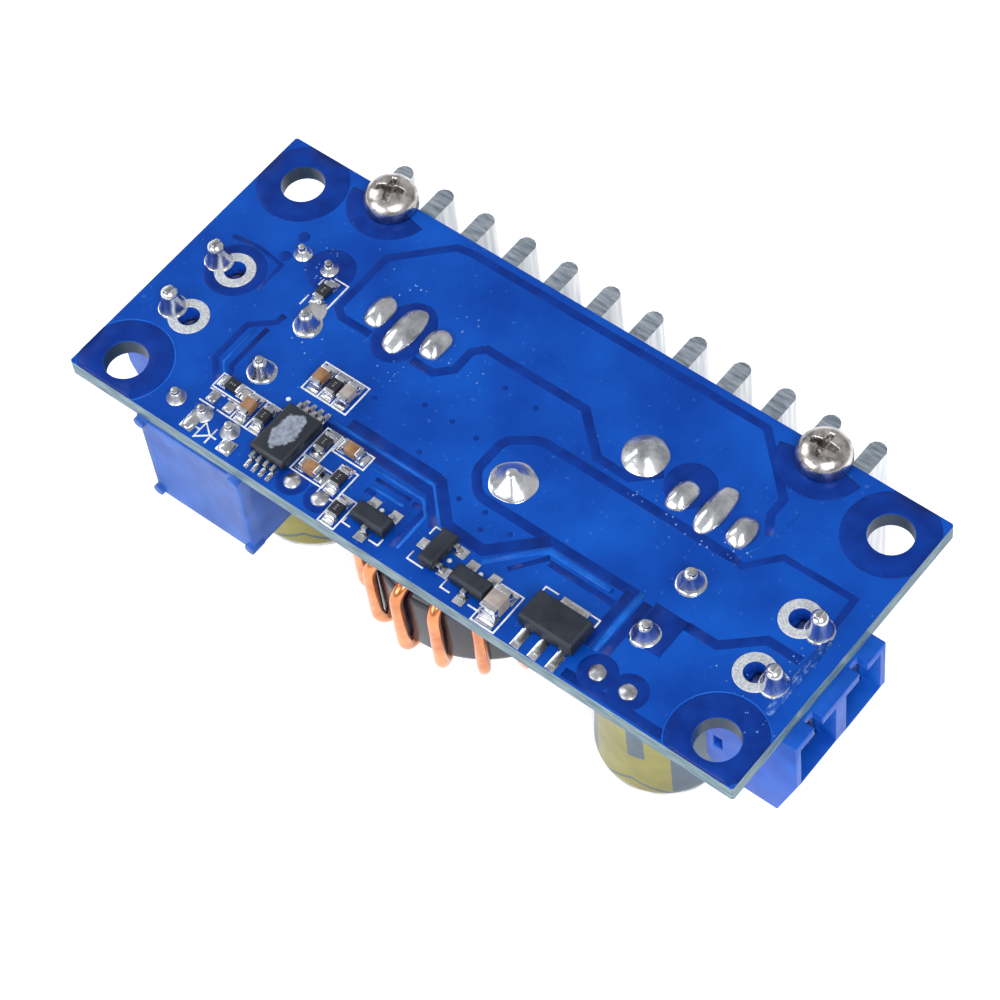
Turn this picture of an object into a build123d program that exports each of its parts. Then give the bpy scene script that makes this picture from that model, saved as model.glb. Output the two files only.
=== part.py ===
from build123d import *
import math
import os

# Boost converter module, modelled solder side up, as it lies on its tall components.
# Origin: centre of the mounting-hole rectangle, on the solder face. +X runs along the
# board towards the output terminals, +Y towards the heatsink, +Z out of the solder face.
# All sizes are in millimetres.

os.makedirs("parts", exist_ok=True)

# Circuit board
board_length = 58.8
board_width = 25.0
board_thickness = 1.4
board_corner_cut = 0.15
mount_hole_d = 3.3
mount_spacing_x = 52.5
mount_spacing_y = 19.5
mount_margin_left = 3.3
mount_margin_near = 2.4
hole_clearance = 0.1

# Heatsink, one extrusion cut to length, with its fins along +Y
fin_count = 12
fin_pitch = 3.87
fin_thickness = 1.44
fin_length = 6.0
heatsink_base_thickness = 3.0
heatsink_height = 17.1
heatsink_first_fin_x = 7.95
heatsink_root_cut = 0.4

# Screws that hold the board to the heatsink, tapped between the two outer pairs of fins
board_screw_head_d = 4.05
board_screw_head_h = 1.9
board_screw_head_cut = 0.65
board_screw_length = 8.0
board_screw_from_edge = 0.7
recess_width = 0.55
recess_span = 2.2
recess_depth = 0.9

# Power transistor and rectifier, both in the same flat-backed package
package_width = 10.0
package_body_h = 9.0
package_body_t = 4.4
package_total_h = 15.4
tab_thickness = 1.3
tab_hole_d = 3.7
tab_hole_from_end = 2.8
tab_corner = 1.2
lead_pitch = 2.54
lead_width = 1.3
lead_thickness = 0.5
lead_to_back = 2.6
lead_protrusion = 0.45
package_seat_gap = 1.0
package_lead_y = 16.6
switch_x = 18.1
rectifier_x = 45.1
pad_thickness = 0.25
pad_margin = 0.6
bush_flange_t = 0.6
bush_flange_d = 6.0
tab_screw_d = 3.0
tab_screw_head_d = 5.4
tab_screw_head_h = 2.0
tab_screw_head_cut = 0.7

# Ring-core inductor
core_x = 30.9
core_y = 8.6
core_outer_d = 17.0
core_inner_d = 9.9
core_height = 6.6
core_edge_cut = 0.8
wire_d = 1.0
wire_gap = 0.1
wire_corner_cut = 0.9
turn_count = 17
turn_angle = 19.6
first_turn_angle = 70.6
inner_end_x = 32.4
inner_end_y = 10.35
outer_end_x = 38.45
outer_end_y = 17.4
inner_end_protrusion = 1.3
outer_end_protrusion = 0.5

# Electrolytic capacitors
can_d = 10.0
can_height = 16.5
sleeve_thickness = 0.15
sleeve_inset = 0.1
can_groove_depth = 0.45
can_groove_height = 1.6
can_groove_from_end = 1.6
can_gap = 0.6
bung_depth = 1.2
bung_inset = 0.9
capacitor_lead_pitch = 5.0
capacitor_lead_d = 0.6
capacitor_lead_protrusion = 1.6
input_capacitor_x = 12.0
input_capacitor_y = 9.8
input_capacitor_lean = 0
output_capacitor_x = 47.2
output_capacitor_y = 8.5
output_capacitor_lean = 4.5

# Trimmer
trimmer_length = 9.5
trimmer_thickness = 4.8
trimmer_height = 9.2
trimmer_foot_h = 0.25
trimmer_foot_size = 0.9
trimmer_x = 11.0
trimmer_overhang = 0.1
trimmer_nub_d = 0.9
trimmer_nub_h = 0.3
trimmer_nub_inset = 0.3
trimmer_pin_d = 0.6
trimmer_pin_y = 2.1
trimmer_pin_protrusion = 0.9
trimmer_screw_d = 2.2
trimmer_screw_length = 7.0
trimmer_screw_out = 1.2
trimmer_screw_inset = 1.7
trimmer_slot_width = 0.5
trimmer_slot_depth = 0.6
running_clearance = 0.05

# Terminal blocks, two poles each, with a rising clamp in each pole
pole_pitch = 5.08
pole_centre_y = 10.45
input_overhang = 0.65
output_overhang = 1.1
block_depth = 7.6
block_height = 10.0
block_front_height = 5.2
block_front_slope = 1.7
block_back_slope = 1.0
block_back_height = 8.2
window_width = 3.9
lip_thickness = 0.9
lip_notch_width = 0.9
window_depth = 1.5
cavity_width = 3.7
cavity_depth = 4.15
cavity_height = 8.0
web_thickness = 0.5
clamp_width = 3.5
clamp_depth = 3.3
clamp_height = 4.6
clamp_wall = 0.4
clamp_bar = 0.6
clamp_front = 1.7
clamp_seat = 1.0
clamp_screw_d = 2.4
clamp_screw_head_d = 3.4
clamp_screw_head_h = 1.1
clamp_screw_slot = 0.5
contact_width = 2.3
contact_thickness = 0.4
contact_depth = 3.9
contact_front = 1.1
contact_back = 5.6
pin_from_front = 3.55
pin_width = 0.8
pin_protrusion = 2.2
pin_jog_depth = 0.1
wire_hole_d = 1.65
wire_ring_d = 3.1
wire_hole_from_front = 5.1
ring_height = 0.1
side_slot_width = 0.7
side_slot_height = 1.3
side_slot_depth = 0.8

# Indicator lamp
lamp_x = 8.8
lamp_y = 17.0
lamp_d = 3.0
lamp_flange_d = 3.8
lamp_flange_h = 1.0
lamp_height = 5.2
lamp_gap = 0.4
lamp_lead_d = 0.5
lamp_lead_protrusion = 0.9

# Surface-mounted pieces, all seated on pads of one height
pad_height = 0.08
small_chip_length = 1.6
small_chip_width = 0.85
resistor_height = 0.5
capacitor_chip_height = 0.8
large_chip_length = 2.0
large_chip_width = 1.3
large_chip_height = 1.25
end_cap_share = 0.2
test_point_d = 1.3
test_point_pitch = 2.54
control_chip_x = 17.4
control_chip_y = 3.85
control_body_x = 3.0
control_body_y = 4.4
control_body_z = 1.0
control_pin_pitch = 0.65
control_pin_width = 0.28
control_pin_span = 6.5
sot_length = 2.9
sot_width = 1.3
sot_height = 1.0
sot_pin_width = 0.42
sot_pin_span = 2.5
sot_pin_pitch = 1.9
regulator_x = 42.15
regulator_y = 2.85
regulator_length = 4.5
regulator_width = 2.5
regulator_height = 1.3
regulator_pin_pitch = 1.5
regulator_pin_width = 0.45
regulator_pin_reach = 1.2
regulator_tab_width = 2.0
regulator_tab_reach = 0.8
body_chamfer = 0.18
gull_thickness = 0.16

# Chip parts: x and y of the centre on the board, and whether the part lies along X
resistor_places = [
    (11.2, 15.1, False),
    (17.25, 9.2, False),
    (11.35, 5.05, True),
    (14.85, 4.3, False),
    (19.8, 5.1, False),
    (22.55, 3.4, False),
    (24.05, 1.4, False),
]
tan_capacitor_places = [
    (16.0, 9.2, False),
    (13.45, 4.3, False),
    (21.9, 5.7, True),
    (20.5, 2.9, True),
]
pale_capacitor_place = (18.5, 9.2, False)
large_capacitor_place = (37.9, 1.8, False)

# Small three-pin transistors: x, y and the turn of the body in degrees
transistor_places = [
    (26.7, 2.1, 0),
    (31.95, 2.85, -90),
    (35.45, 2.1, 0),
]

# Filled test points: x of the first of each pair, and y
test_point_places = [(19.85, 1.5), (46.4, 1.8)]

# Bare pads of the parts that are left off: x, y, size along X, size along Y
bare_pads = [
    (10.65, 3.65, 0.8, 1.0),
    (12.2, 3.65, 0.8, 1.0),
    (10.75, 1.5, 1.1, 2.2),
    (14.25, 0.95, 1.2, 1.2),
]

# Solder joints of the power packages: width and length of the mound over each lead
switch_mounds = [(1.9, 2.9), (2.2, 4.4), (1.9, 3.0)]
rectifier_mounds = [(1.9, 2.9), (2.0, 4.3), (1.9, 2.8)]
mound_height = 0.75
mound_offset_y = -0.2
capacitor_joint_r = 1.15
capacitor_joint_h = 1.1
terminal_joint_r = 1.1
terminal_joint_h = 1.4
trimmer_joint_r = 0.75
trimmer_joint_h = 0.7
lamp_joint_r = 0.7
lamp_joint_h = 0.6
inductor_joint_r = 1.75
inductor_joint_h = 1.2
outer_joint_h = 0.8
test_point_h = 0.3

# Sides of the round pieces that are small or repeat, which are modelled many-sided
wire_sides = 6
hole_sides = 6
lead_sides = 8
small_sides = 12
round_sides = 16
head_sides = 24
can_sides = 30

# Heights that follow from the sizes above
under = -board_thickness
can_top_z = under - can_gap
rest_plane = can_top_z - can_height
package_back_y = package_lead_y + lead_to_back
heatsink_near_y = package_back_y + pad_thickness
heatsink_root_y = heatsink_near_y + heatsink_base_thickness
heatsink_length = (fin_count - 1) * fin_pitch + fin_thickness
fin_gap = fin_pitch - fin_thickness
board_screw_d = fin_gap - 2 * running_clearance
tab_end_z = under - package_seat_gap - package_total_h
tab_hole_z = tab_end_z + tab_hole_from_end
core_top_z = under - 2 * wire_gap - wire_d - wire_gap
core_bottom_z = core_top_z - core_height
wire_top_z = core_top_z + wire_gap + wire_d / 2
wire_bottom_z = core_bottom_z - wire_gap - wire_d / 2
wire_outer_r = core_outer_d / 2 + wire_gap + wire_d / 2
wire_inner_r = core_inner_d / 2 - wire_gap - wire_d / 2
trimmer_near_y = -trimmer_overhang
trimmer_top_z = under - trimmer_foot_h
trimmer_bottom_z = trimmer_top_z - trimmer_height
clamp_screw_from_front = clamp_front + clamp_depth / 2


def bx(x):
    """Board x, counted from the left end, in the part's frame."""
    return x - mount_margin_left - mount_spacing_x / 2


def by(y):
    """Board y, counted from the near long edge, in the part's frame."""
    return y - mount_margin_near - mount_spacing_y / 2


def block(x0, x1, y0, y1, z0, z1):
    """A box between two corners, with x and y counted on the board."""
    size = Box(abs(x1 - x0), abs(y1 - y0), abs(z1 - z0))
    return Pos(bx((x0 + x1) / 2), by((y0 + y1) / 2), (z0 + z1) / 2) * size


def rod(x, y, radius, z0, z1):
    """An upright cylinder between two heights, at a place on the board."""
    return Pos(bx(x), by(y), (z0 + z1) / 2) * Cylinder(radius, abs(z1 - z0))


def bar(x, y, reach, z0, z1, sides=small_sides):
    """An upright many-sided bar; reach is from its axis to the middle of a side."""
    outline = RegularPolygon(reach, sides, major_radius=False)
    return Pos(bx(x), by(y), min(z0, z1)) * extrude(outline, abs(z1 - z0))


def bar_along_y(x, z, reach, y0, y1, sides=small_sides):
    """A many-sided bar along Y, between two places across the board."""
    outline = RegularPolygon(reach, sides, major_radius=False)
    return Pos(bx(x), by(y1), z) * Rot(90, 0, 0) * extrude(outline, y1 - y0)


def ringed(x, y, rings, sides=small_sides):
    """A many-sided solid through rings of (reach, height), from the lowest one up."""
    turns = [2 * math.pi * k / sides for k in range(sides)]
    loops = []
    for reach, z in rings:
        radius = reach / math.cos(math.pi / sides)
        loops.append([(bx(x) + radius * math.cos(t), by(y) + radius * math.sin(t), z) for t in turns])
    outlines = [loops[0], loops[-1]]
    for low, high in zip(loops, loops[1:]):
        for k in range(sides):
            n = (k + 1) % sides
            outlines.append([low[k], low[n], high[n], high[k]])
    return Solid(Shell([Face(Wire.make_polygon(outline)) for outline in outlines]))


def save(name, shapes):
    """Write one node as its own STEP file, labelled with its name."""
    solids = [s for shape in shapes for s in shape.solids()]
    node = solids[0] if len(solids) == 1 else Compound(children=solids)
    node.label = name
    export_step(node, "parts/" + name + ".step")


# Where every lead goes through the board: x, y and the lead's radius or half diagonal
package_lead_r = math.hypot(lead_width, lead_thickness) / 2
contact_pin_r = math.hypot(pin_width, contact_thickness) / 2
pole_ys = [pole_centre_y - pole_pitch / 2, pole_centre_y + pole_pitch / 2]
input_front_x = -input_overhang
output_front_x = board_length + output_overhang
input_pin_x = input_front_x + pin_from_front
output_pin_x = output_front_x - pin_from_front
input_ring_x = input_front_x + wire_hole_from_front
output_ring_x = output_front_x - wire_hole_from_front


def package_lead_places(centre_x):
    """The three lead places of a power package."""
    return [(centre_x + k * lead_pitch, package_lead_y) for k in (-1, 0, 1)]


def capacitor_lead_places(x, y):
    """The two lead places of an electrolytic capacitor."""
    return [(x, y - capacitor_lead_pitch / 2), (x, y + capacitor_lead_pitch / 2)]


trimmer_pin_places = [(trimmer_x + k * lead_pitch, trimmer_pin_y) for k in (-1, 0, 1)]
lamp_lead_places = [(lamp_x + k * lead_pitch / 2, lamp_y) for k in (-1, 1)]
inductor_end_places = [(inner_end_x, inner_end_y), (outer_end_x, outer_end_y)]
contact_pin_places = [(x, y) for x in (input_pin_x, output_pin_x) for y in pole_ys]
wire_hole_places = [(x, y) for x in (input_ring_x, output_ring_x) for y in pole_ys]
heatsink_left_x = heatsink_first_fin_x - fin_thickness / 2
last_fin_x = heatsink_first_fin_x + (fin_count - 1) * fin_pitch
board_screw_y = board_width - board_screw_from_edge
board_screw_places = [
    (heatsink_first_fin_x + fin_pitch / 2, board_screw_y),
    (last_fin_x - fin_pitch / 2, board_screw_y),
]


def circuit_board():
    """The board: one plate with its holes and the two open screw notches."""
    outline = Rectangle(board_length, board_width)
    outline = chamfer(outline.vertices(), board_corner_cut)
    centre = Pos(bx(board_length / 2), by(board_width / 2), under)
    board = centre * extrude(outline, board_thickness)
    for i in (0, 1):
        for j in (0, 1):
            x = mount_margin_left + i * mount_spacing_x
            y = mount_margin_near + j * mount_spacing_y
            board -= rod(x, y, mount_hole_d / 2, under - 1, 1)
    drills = [(wire_hole_places, wire_hole_d / 2, small_sides)]
    drills.append((board_screw_places, board_screw_d / 2 + hole_clearance, round_sides))
    lead_drills = [
        (package_lead_places(switch_x) + package_lead_places(rectifier_x), package_lead_r),
        (contact_pin_places, contact_pin_r),
        (capacitor_lead_places(input_capacitor_x, input_capacitor_y), capacitor_lead_d / 2),
        (capacitor_lead_places(output_capacitor_x, output_capacitor_y), capacitor_lead_d / 2),
        (trimmer_pin_places, trimmer_pin_d / 2),
        (lamp_lead_places, lamp_lead_d / 2),
        (inductor_end_places, wire_d / 2),
    ]
    drills += [(places, reach + hole_clearance, hole_sides) for places, reach in lead_drills]
    for places, reach, sides in drills:
        for x, y in places:
            board -= bar(x, y, reach, under - 1, 1, sides)
    return board


def wire_hole_rings():
    """The plated rings round the four holes for soldered wires."""
    rings = []
    for (x, y), (pin_x, pin_y) in zip(wire_hole_places, contact_pin_places):
        ring = bar(x, y, wire_ring_d / 2, 0, ring_height)
        ring -= bar(x, y, wire_hole_d / 2, -1, 1)
        rings.append(ring - bar(pin_x, pin_y, terminal_joint_r, -1, 1, lead_sides))
    return rings


def heatsink():
    """One extrusion: a base plate with round-tipped fins, drilled for the tab screws."""
    base = Rectangle(heatsink_length, heatsink_base_thickness, align=(Align.MIN, Align.MIN))
    profile = Pos(heatsink_left_x, heatsink_near_y) * base
    straight = fin_length - fin_thickness / 2
    half_turn = 180 / small_sides
    tip = RegularPolygon(fin_thickness / 2, small_sides, major_radius=False, rotation=half_turn)
    for k in range(fin_count):
        x = heatsink_first_fin_x + k * fin_pitch
        stem = Rectangle(fin_thickness, straight, align=(Align.CENTER, Align.MIN))
        profile += Pos(x, heatsink_root_y) * stem
        profile += Pos(x, heatsink_root_y + straight) * tip
    body = Pos(bx(0), by(0), under - heatsink_height) * extrude(profile, heatsink_height)
    roots = [
        e
        for e in body.edges().filter_by(Axis.Z)
        if abs(e.center().Y - by(heatsink_root_y)) < 0.01
        and bx(heatsink_left_x) + 0.01 < e.center().X < bx(last_fin_x + fin_thickness / 2) - 0.01
    ]
    body = chamfer(roots, min(heatsink_root_cut, fin_gap / 3))
    for x in (switch_x, rectifier_x):
        reach = heatsink_root_y + heatsink_root_cut
        drill = tab_screw_d / 2 + running_clearance
        body -= bar_along_y(x, tab_hole_z, drill, heatsink_near_y - 1, reach)
    return body


def cross_recess(x, y, top, turn):
    """The cross-shaped driver recess, as a cutter."""
    cutter = Box(recess_width, recess_span, 2 * recess_depth)
    cutter += Box(recess_span, recess_width, 2 * recess_depth)
    return Pos(bx(x), by(y), top) * Rot(0, 0, turn) * cutter


def board_screws():
    """Two pan-head screws, from the solder face down between the outer fins."""
    screws = []
    for (x, y), turn in zip(board_screw_places, (20, 5)):
        head = bar(x, y, board_screw_head_d / 2, 0, board_screw_head_h, head_sides)
        head = chamfer(head.faces().sort_by(Axis.Z)[-1].edges(), board_screw_head_cut)
        shank = bar(x, y, board_screw_d / 2, -board_screw_length, 0, round_sides)
        shank = chamfer(shank.faces().sort_by(Axis.Z)[0].edges(), board_screw_d / 5)
        screws.append(head + shank - cross_recess(x, y, board_screw_head_h, turn))
    return screws


def power_package(centre_x):
    """Moulded body, and the metal frame of the tab and three leads."""
    top = under - package_seat_gap
    body_end = top - package_body_h
    front = package_back_y - package_body_t
    x0 = centre_x - package_width / 2
    x1 = centre_x + package_width / 2
    body = block(x0, x1, front, package_back_y, body_end, top)
    front_edges = body.faces().sort_by(Axis.Y)[0].edges()
    body = chamfer(front_edges, 0.45)
    tab_front = package_back_y - tab_thickness
    body -= block(x0 - 1, x1 + 1, tab_front, package_back_y + 1, body_end - 1, top + 1)
    tab = block(x0, x1, tab_front, package_back_y, tab_end_z, top)
    far_corners = [e for e in tab.edges().filter_by(Axis.Y) if e.center().Z < body_end]
    tab = chamfer(far_corners, tab_corner)
    hole_end = package_back_y + 1
    tab -= bar_along_y(centre_x, tab_hole_z, tab_hole_d / 2, front, hole_end)
    leads = []
    for x, y in package_lead_places(centre_x):
        half_w = lead_width / 2
        half_t = lead_thickness / 2
        depth = top - lead_pitch
        lead = block(x - half_w, x + half_w, y - half_t, y + half_t, depth, lead_protrusion)
        body -= lead
        leads.append(lead)
    return body, [tab] + leads


def insulating_pads():
    """Thin insulating sheets between the tabs and the heatsink."""
    sheets = []
    for x in (switch_x, rectifier_x):
        half = package_width / 2 + pad_margin
        top = under - package_seat_gap
        sheet = block(x - half, x + half, package_back_y, heatsink_near_y, tab_end_z, top)
        hole = tab_screw_d / 2 + running_clearance
        sheet -= bar_along_y(x, tab_hole_z, hole, package_back_y - 1, heatsink_near_y + 1)
        sheets.append(sheet)
    return sheets


def insulating_bushes():
    """Shouldered bushes that keep the tab screws clear of the tabs."""
    bushes = []
    tab_front = package_back_y - tab_thickness
    seat = tab_front - bush_flange_t
    for x in (switch_x, rectifier_x):
        flange = bar_along_y(x, tab_hole_z, bush_flange_d / 2, seat, tab_front)
        tube = bar_along_y(x, tab_hole_z, tab_hole_d / 2, tab_front, package_back_y)
        bore = tab_screw_d / 2 + running_clearance
        drill = bar_along_y(x, tab_hole_z, bore, seat - 1, package_back_y + 1)
        bushes.append(flange + tube - drill)
    return bushes


def tab_screws():
    """Two pan-head screws that hold the tabs against the heatsink."""
    screws = []
    seat = package_back_y - tab_thickness - bush_flange_t
    end = seat - tab_screw_head_h
    for x in (switch_x, rectifier_x):
        head = bar_along_y(x, tab_hole_z, tab_screw_head_d / 2, end, seat)
        head = chamfer(head.faces().sort_by(Axis.Y)[0].edges(), tab_screw_head_cut)
        shank = bar_along_y(x, tab_hole_z, tab_screw_d / 2, seat, heatsink_root_y)
        turned = Rot(90, 0, 0) * Box(recess_span, recess_width, 2 * recess_depth)
        turned += Rot(90, 0, 0) * Box(recess_width, recess_span, 2 * recess_depth)
        recess = Pos(bx(x), by(end), tab_hole_z) * turned
        screws.append(head + shank - recess)
    return screws


def inductor_core():
    """The pressed ring with its edges broken."""
    ring = bar(core_x, core_y, core_outer_d / 2, core_bottom_z, core_top_z, can_sides)
    ring -= bar(core_x, core_y, core_inner_d / 2, core_bottom_z - 1, core_top_z + 1, can_sides)
    ends = ring.faces().filter_by(Axis.Z)
    return chamfer(ends.edges(), core_edge_cut)


def winding_point(radius, degrees, z):
    """A point on the winding, at a radius and angle about the core's axis."""
    angle = math.radians(degrees)
    x = core_x + radius * math.cos(angle)
    y = core_y + radius * math.sin(angle)
    return (bx(x), by(y), z)


def cut_corners(points, cut):
    """The points of a path with each corner replaced by a short slanted run."""
    places = [Vector(*point) for point in points]
    path = [places[0]]
    for before, corner, after in zip(places, places[1:], places[2:]):
        path.append(corner + (before - corner).normalized() * cut)
        path.append(corner + (after - corner).normalized() * cut)
    return path + [places[-1]]


def inductor_winding():
    """One wire: down through the ring, round the core turn by turn, and up to the board."""
    points = [(bx(inner_end_x), by(inner_end_y), inner_end_protrusion)]
    points.append((bx(inner_end_x), by(inner_end_y), wire_bottom_z))
    for k in range(turn_count):
        outer = first_turn_angle + k * turn_angle
        inner = outer + turn_angle / 2
        points.append(winding_point(wire_outer_r, outer, wire_bottom_z))
        points.append(winding_point(wire_outer_r, outer, wire_top_z))
        points.append(winding_point(wire_inner_r, inner, wire_top_z))
        points.append(winding_point(wire_inner_r, inner, wire_bottom_z))
    points.append((bx(outer_end_x), by(outer_end_y), wire_bottom_z))
    points.append((bx(outer_end_x), by(outer_end_y), outer_end_protrusion))
    path = Polyline(*cut_corners(points, wire_corner_cut))
    start = Plane(origin=path @ 0, z_dir=path % 0)
    return sweep(start * RegularPolygon(wire_d / 2, wire_sides), path=path, transition=Transition.RIGHT)


def capacitor(x, y, lean):
    """Can, sleeve, bung and leads of one electrolytic capacitor, leaning towards -X."""
    outer_r = can_d / 2
    inner_r = outer_r - sleeve_thickness
    groove_z = can_top_z - can_groove_from_end
    half = can_groove_height / 2

    def grooved(radius, low, high):
        """A many-sided cylinder with the rolled groove near its upper end."""
        rings = [(radius, low), (radius, groove_z - half)]
        rings.append((radius - can_groove_depth, groove_z))
        rings += [(radius, groove_z + half), (radius, high)]
        return ringed(x, y, rings, can_sides)

    can = grooved(inner_r, rest_plane, can_top_z)
    sleeve = grooved(outer_r, rest_plane + sleeve_inset, can_top_z - sleeve_inset) - can
    bung = bar(x, y, inner_r - bung_inset, can_top_z - bung_depth, can_top_z, round_sides)
    can -= bung
    leads = []
    for lead_x, lead_y in capacitor_lead_places(x, y):
        low = can_top_z - bung_depth
        lead = bar(lead_x, lead_y, capacitor_lead_d / 2, low, capacitor_lead_protrusion, lead_sides)
        bung -= lead
        leads.append(lead)
    pivot = (bx(x), by(y), under / 2)
    turn = Pos(*pivot) * Rot(0, lean, 0) * Pos(*[-v for v in pivot])
    return turn * can, turn * sleeve, turn * bung, [turn * lead for lead in leads]


def trimmer_housing():
    """The trimmer's moulded case, with feet on the board and corner nubs on one side."""
    x0 = trimmer_x - trimmer_length / 2
    x1 = trimmer_x + trimmer_length / 2
    y0 = trimmer_near_y
    y1 = y0 + trimmer_thickness
    case = block(x0, x1, y0, y1, trimmer_bottom_z, trimmer_top_z)
    case = chamfer(case.edges().filter_by(Axis.Z), 0.15)
    s = trimmer_foot_size
    for fx in (x0, x1 - s):
        for fy in (y0, y1 - s):
            case += block(fx, fx + s, fy, fy + s, trimmer_top_z, under)
    inset = trimmer_nub_inset
    for nx in (x0 + inset, x1 - inset):
        for nz in (trimmer_bottom_z + inset, trimmer_top_z - inset):
            case += bar_along_y(nx, nz, trimmer_nub_d / 2, y0 - trimmer_nub_h, y0 + 1)
    seat = trimmer_bottom_z + trimmer_screw_length - trimmer_screw_out
    sx = x0 + trimmer_screw_inset
    sy = y0 + trimmer_thickness / 2
    bore = trimmer_screw_d / 2 + running_clearance
    case -= bar(sx, sy, bore, trimmer_bottom_z - 1, seat, round_sides)
    for x, y in trimmer_pin_places:
        case -= bar(x, y, trimmer_pin_d / 2, trimmer_top_z - lead_pitch / 2, under, lead_sides)
    return case


def trimmer_screw():
    """The brass adjusting screw, with its slot outside the case."""
    x = trimmer_x - trimmer_length / 2 + trimmer_screw_inset
    y = trimmer_near_y + trimmer_thickness / 2
    low = trimmer_bottom_z - trimmer_screw_out
    screw = rod(x, y, trimmer_screw_d / 2, low, low + trimmer_screw_length - running_clearance)
    slot = Box(trimmer_slot_width, 2 * trimmer_screw_d, 2 * trimmer_slot_depth)
    return screw - Pos(bx(x), by(y), low) * slot


def trimmer_pins():
    """Three round pins in line."""
    low = trimmer_top_z - lead_pitch / 2
    reach = trimmer_pin_d / 2
    return [bar(x, y, reach, low, trimmer_pin_protrusion, lead_sides) for x, y in trimmer_pin_places]


class Terminal:
    """One two-pole terminal block; out is +1 where the wires enter from +X, else -1."""

    def __init__(self, front_x, out):
        self.front_x = front_x
        self.out = out

    def box(self, back0, back1, y0, y1, deep0, deep1):
        """A box given by distances behind the front face and below the board."""
        x0 = self.front_x - self.out * back0
        x1 = self.front_x - self.out * back1
        return block(x0, x1, y0, y1, under - deep0, under - deep1)

    def rod(self, y, radius, deep0, deep1):
        """A cylinder on the axis of a pole's screw, between two depths."""
        x = self.front_x - self.out * clamp_screw_from_front
        return rod(x, y, radius, under - deep0, under - deep1)

    def bar(self, y, reach, deep0, deep1, sides):
        """A many-sided bar on the axis of a pole's screw, between two depths."""
        x = self.front_x - self.out * clamp_screw_from_front
        return bar(x, y, reach, under - deep0, under - deep1, sides)

    def housing(self):
        """The moulded block: profile, wire windows, clamp cavities and screw wells."""
        y0 = pole_centre_y - pole_pitch
        profile = Polyline(
            (0, 0),
            (0, -block_front_height),
            (-block_front_slope, -block_height),
            (-block_depth + block_back_slope, -block_height),
            (-block_depth, -block_back_height),
            (-block_depth, 0),
            close=True,
        )
        side = Plane(origin=(0, 0, 0), x_dir=(1, 0, 0), z_dir=(0, -1, 0))
        shape = extrude(side * make_face(profile), -2 * pole_pitch)
        if self.out < 0:
            shape = mirror(shape, about=Plane.YZ)
        shape = Pos(bx(self.front_x), by(y0), under) * shape
        for y in pole_ys:
            half = window_width / 2
            shape -= self.box(-1, window_depth, y - half, y + half, lip_thickness, block_front_height)
            half = cavity_width / 2
            back = window_depth + cavity_depth
            shape -= self.box(window_depth, back, y - half, y + half, lip_thickness, cavity_height)
            half = lip_notch_width / 2
            shape -= self.box(-1, lip_notch_width, y - half, y + half, -1, lip_thickness + 1)
            hole = clamp_screw_d / 2 + 2 * running_clearance
            shape -= self.bar(y, hole, cavity_height - 1, block_height, small_sides)
            well = clamp_screw_head_d / 2 + 2 * running_clearance
            well_start = cavity_height + web_thickness
            shape -= self.bar(y, well, well_start, block_height + 1, round_sides)
            half = contact_width / 2 + running_clearance
            channel = 2 * pin_jog_depth + contact_thickness
            inner = pin_from_front - contact_thickness
            shape -= self.box(inner, back, y - half, y + half, -1, channel)
            riser = contact_back + running_clearance
            shape -= self.box(riser - 1, riser, y - half, y + half, 0, lip_thickness + 1)
        slot_back = block_depth - side_slot_width
        slot_end = block_front_height + side_slot_height
        slot_front = slot_back - side_slot_width
        slot_reach = y0 + side_slot_depth
        slot = self.box(slot_back, slot_front, y0 - 1, slot_reach, block_front_height, slot_end)
        return shape - slot

    def contacts(self):
        """Bent contact strips: plate under the screw, riser, jog and solder pin."""
        strips = []
        for y in pole_ys:
            half = contact_width / 2
            t = contact_thickness
            lower = contact_depth + t
            plate = self.box(contact_front, contact_back, y - half, y + half, contact_depth, lower)
            riser = self.box(contact_back - t, contact_back, y - half, y + half, pin_jog_depth, contact_depth)
            inner = pin_from_front - t / 2
            jog = self.box(inner, contact_back, y - half, y + half, pin_jog_depth, pin_jog_depth + t)
            half_pin = pin_width / 2
            outer = pin_from_front + t / 2
            tip = -board_thickness - pin_protrusion
            pin = self.box(inner, outer, y - half_pin, y + half_pin, pin_jog_depth, tip)
            strips.append(plate + riser + jog + pin)
        return strips

    def clamp(self, y):
        """The rising clamp: a square collar with a thick bar for the screw."""
        half = clamp_width / 2
        back = clamp_front + clamp_depth
        end = clamp_seat + clamp_height
        collar = self.box(clamp_front, back, y - half, y + half, clamp_seat, end)
        inner = half - clamp_wall
        low = clamp_seat + clamp_wall
        collar -= self.box(clamp_front - 1, back + 1, y - inner, y + inner, low, end - clamp_bar)
        bore = clamp_screw_d / 2 + running_clearance
        return collar - self.bar(y, bore, end - clamp_bar - 0.5, end + 0.5, small_sides)

    def screw(self, y):
        """The slotted clamp screw, its tip on the contact plate and its head in the well."""
        tip = contact_depth + contact_thickness + running_clearance
        seat = cavity_height + web_thickness + running_clearance
        end = seat + clamp_screw_head_h
        screw = self.rod(y, clamp_screw_d / 2, tip, seat)
        screw += self.bar(y, clamp_screw_head_d / 2, seat, end, round_sides)
        slot = Box(clamp_screw_slot, 2 * clamp_screw_head_d, clamp_screw_head_h)
        x = self.front_x - self.out * clamp_screw_from_front
        return screw - Pos(bx(x), by(y), under - end) * Rot(0, 0, 35) * slot


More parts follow.
